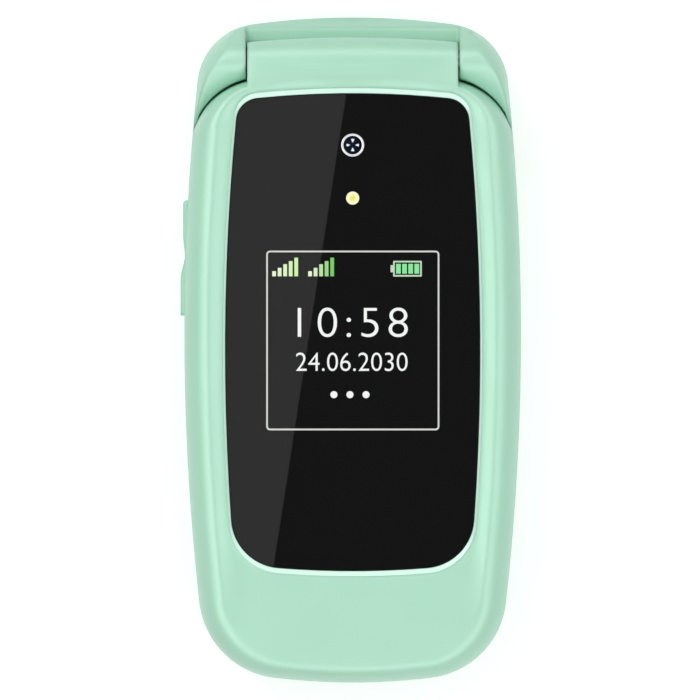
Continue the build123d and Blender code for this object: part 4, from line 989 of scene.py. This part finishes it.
def where_seen(tree):
    """1 for rays of the camera, also mirrored or through glass, and 0 for light on things."""
    path = add_node(tree, "ShaderNodeLightPath")
    seen = path.outputs["Is Camera Ray"]
    for kind in ("Is Glossy Ray", "Is Transmission Ray"):
        either = add_node(tree, "ShaderNodeMath", operation="MAXIMUM")
        link(tree, seen, either.inputs[0])
        link(tree, path.outputs[kind], either.inputs[1])
        seen = either.outputs["Value"]
    return seen


def floor_material():
    """White paper."""
    material, tree, shader = new_material("floor_paper")
    shader.inputs["Roughness"].default_value = 0.9
    shader.inputs["Specular IOR Level"].default_value = 0.0
    tint = two_tone(tree, object_noise(tree, 30.0, 2.0), (0.80,) * 3, (0.82,) * 3)
    link(tree, tint.outputs["Color"], shader.inputs["Base Color"])
    lift = add_node(tree, "ShaderNodeMath", operation="MULTIPLY")
    lift.inputs[1].default_value = FLOOR_LIFT
    link(tree, where_seen(tree), lift.inputs[0])
    shader.inputs["Emission Color"].default_value = WHITE
    link(tree, lift.outputs["Value"], shader.inputs["Emission Strength"])
    return material


floor_corners = [(x * FLOOR_HALF, y * FLOOR_HALF, 0) for x, y in ((-1, -1), (1, -1), (1, 1), (-1, 1))]
floor = bpy.data.objects.new("floor", flat_mesh("floor", floor_corners))
floor.location.z = -FLOOR_DROP
scene.collection.objects.link(floor)
floor.data.materials.append(floor_material())


def add_sky():
    """White sky that is brighter where it is seen than as light."""
    world = bpy.data.worlds.new("studio")
    scene.world = world
    world.use_nodes = True
    tree = world.node_tree
    background = tree.nodes["Background"]
    level = range_to(tree, where_seen(tree), SKY_LIGHT, SKY_SEEN)
    background.inputs["Color"].default_value = WHITE
    link(tree, level.outputs["Result"], background.inputs["Strength"])


add_sky()

LAMP_TARGET = Vector((0, 0, 0.01))


def softbox(name, place, size, power):
    """Round lamp that points at the phone and isn't mirrored in it."""
    lamp = bpy.data.lights.new(name, "AREA")
    lamp.shape = "DISK"
    lamp.size = size
    lamp.energy = power
    holder = bpy.data.objects.new(name, lamp)
    holder.location = place
    holder.rotation_euler = (LAMP_TARGET - Vector(place)).to_track_quat("-Z", "Y").to_euler()
    holder.visible_glossy = False
    scene.collection.objects.link(holder)


softbox("key_light", place=(-0.7, 0.9, 1.1), size=0.9, power=7.0)
softbox("fill_light", place=(0.8, -0.8, 1.2), size=1.0, power=6.0)

LENS = 1000.0
SENSOR = 36.0
VIEW_WIDTH = 109.75 * MM
VIEW_PLANE = 12.5 * MM
VIEW_MIDDLE = (-0.42 * MM, -0.01 * MM)
camera_height = VIEW_PLANE + VIEW_WIDTH * LENS / SENSOR
camera_data = bpy.data.cameras.new("camera")
camera_data.lens = LENS
camera_data.sensor_width = SENSOR
camera_data.clip_end = 20.0
camera = bpy.data.objects.new("camera", camera_data)
camera.location = (*VIEW_MIDDLE, camera_height)
scene.collection.objects.link(camera)
scene.camera = camera

# Dark card above the phone: the window mirrors it right of a slanted edge.
# Its edge and reach are places on the window that mirror it, in millimetres.
CARD_HEIGHT = 0.6
CARD_EDGE = ((-0.89, 40.85), (-12.45, -34.25))
CARD_TOP, CARD_FOOT, CARD_REACH = 48.0, -42.0, 24.0
CARD_STRENGTH = 0.24


def card_point(x, y):
    """Place on the card that the window mirrors at a place of its own, in millimetres."""
    spread = (CARD_HEIGHT - window_high.z) / (camera_height - window_high.z)
    return (
        x * MM + (x * MM - camera.location.x) * spread,
        y * MM + (y * MM - camera.location.y) * spread,
        CARD_HEIGHT,
    )


def edge_x(y):
    """Where the slanted edge is at a place along the window."""
    (x0, y0), (x1, y1) = CARD_EDGE
    return x0 + (y - y0) * (x0 - x1) / (y0 - y1)


def studio_card(name, corners, strength):
    """Plain card that only shows as a reflection."""
    mesh = flat_mesh(name, corners)
    card = bpy.data.objects.new(name, mesh)
    scene.collection.objects.link(card)
    material, _, shader = new_material(name)
    shader.inputs["Base Color"].default_value = BLACK
    shader.inputs["Specular IOR Level"].default_value = 0.0
    shader.inputs["Emission Color"].default_value = WHITE
    shader.inputs["Emission Strength"].default_value = strength
    mesh.materials.append(material)
    card.visible_camera = False
    card.visible_diffuse = False
    card.visible_shadow = False
    card.visible_transmission = False


dark_corners = [
    card_point(edge_x(CARD_TOP), CARD_TOP),
    card_point(edge_x(CARD_FOOT), CARD_FOOT),
    card_point(CARD_REACH, CARD_FOOT),
    card_point(CARD_REACH, CARD_TOP),
]
studio_card("dark_card", dark_corners, CARD_STRENGTH)

# Bright cards on all sides, which the rim's crest, the barrel and the rounded ends catch.
# Each has a direction, half its width, the two leans between which it stands, and a strength.
BRIGHT_REACH = 1.0
BRIGHT_CARDS = (
    ("left", 180, 0.8, (20, 60), 5.0),
    ("right", 0, 0.8, (20, 60), 3.2),
    ("rear", 90, 1.0, (28, 54), 3.2),
    ("front", 270, 0.6, (34, 74), 3.8),
)


def bright_card(name, turn, half_width, leans, strength):
    out = Vector((math.cos(math.radians(turn)), math.sin(math.radians(turn)), 0))
    along = Vector((-out.y, out.x, 0))
    corners = []
    for lean, side in ((leans[0], -1), (leans[0], 1), (leans[1], 1), (leans[1], -1)):
        angle = math.radians(lean)
        point = out * math.sin(angle) * BRIGHT_REACH + along * side * half_width
        corners.append((point.x, point.y, math.cos(angle) * BRIGHT_REACH))
    studio_card(f"bright_card_{name}", corners, strength)


for card in BRIGHT_CARDS:
    bright_card(*card)

scene.view_settings.view_transform = "Standard"
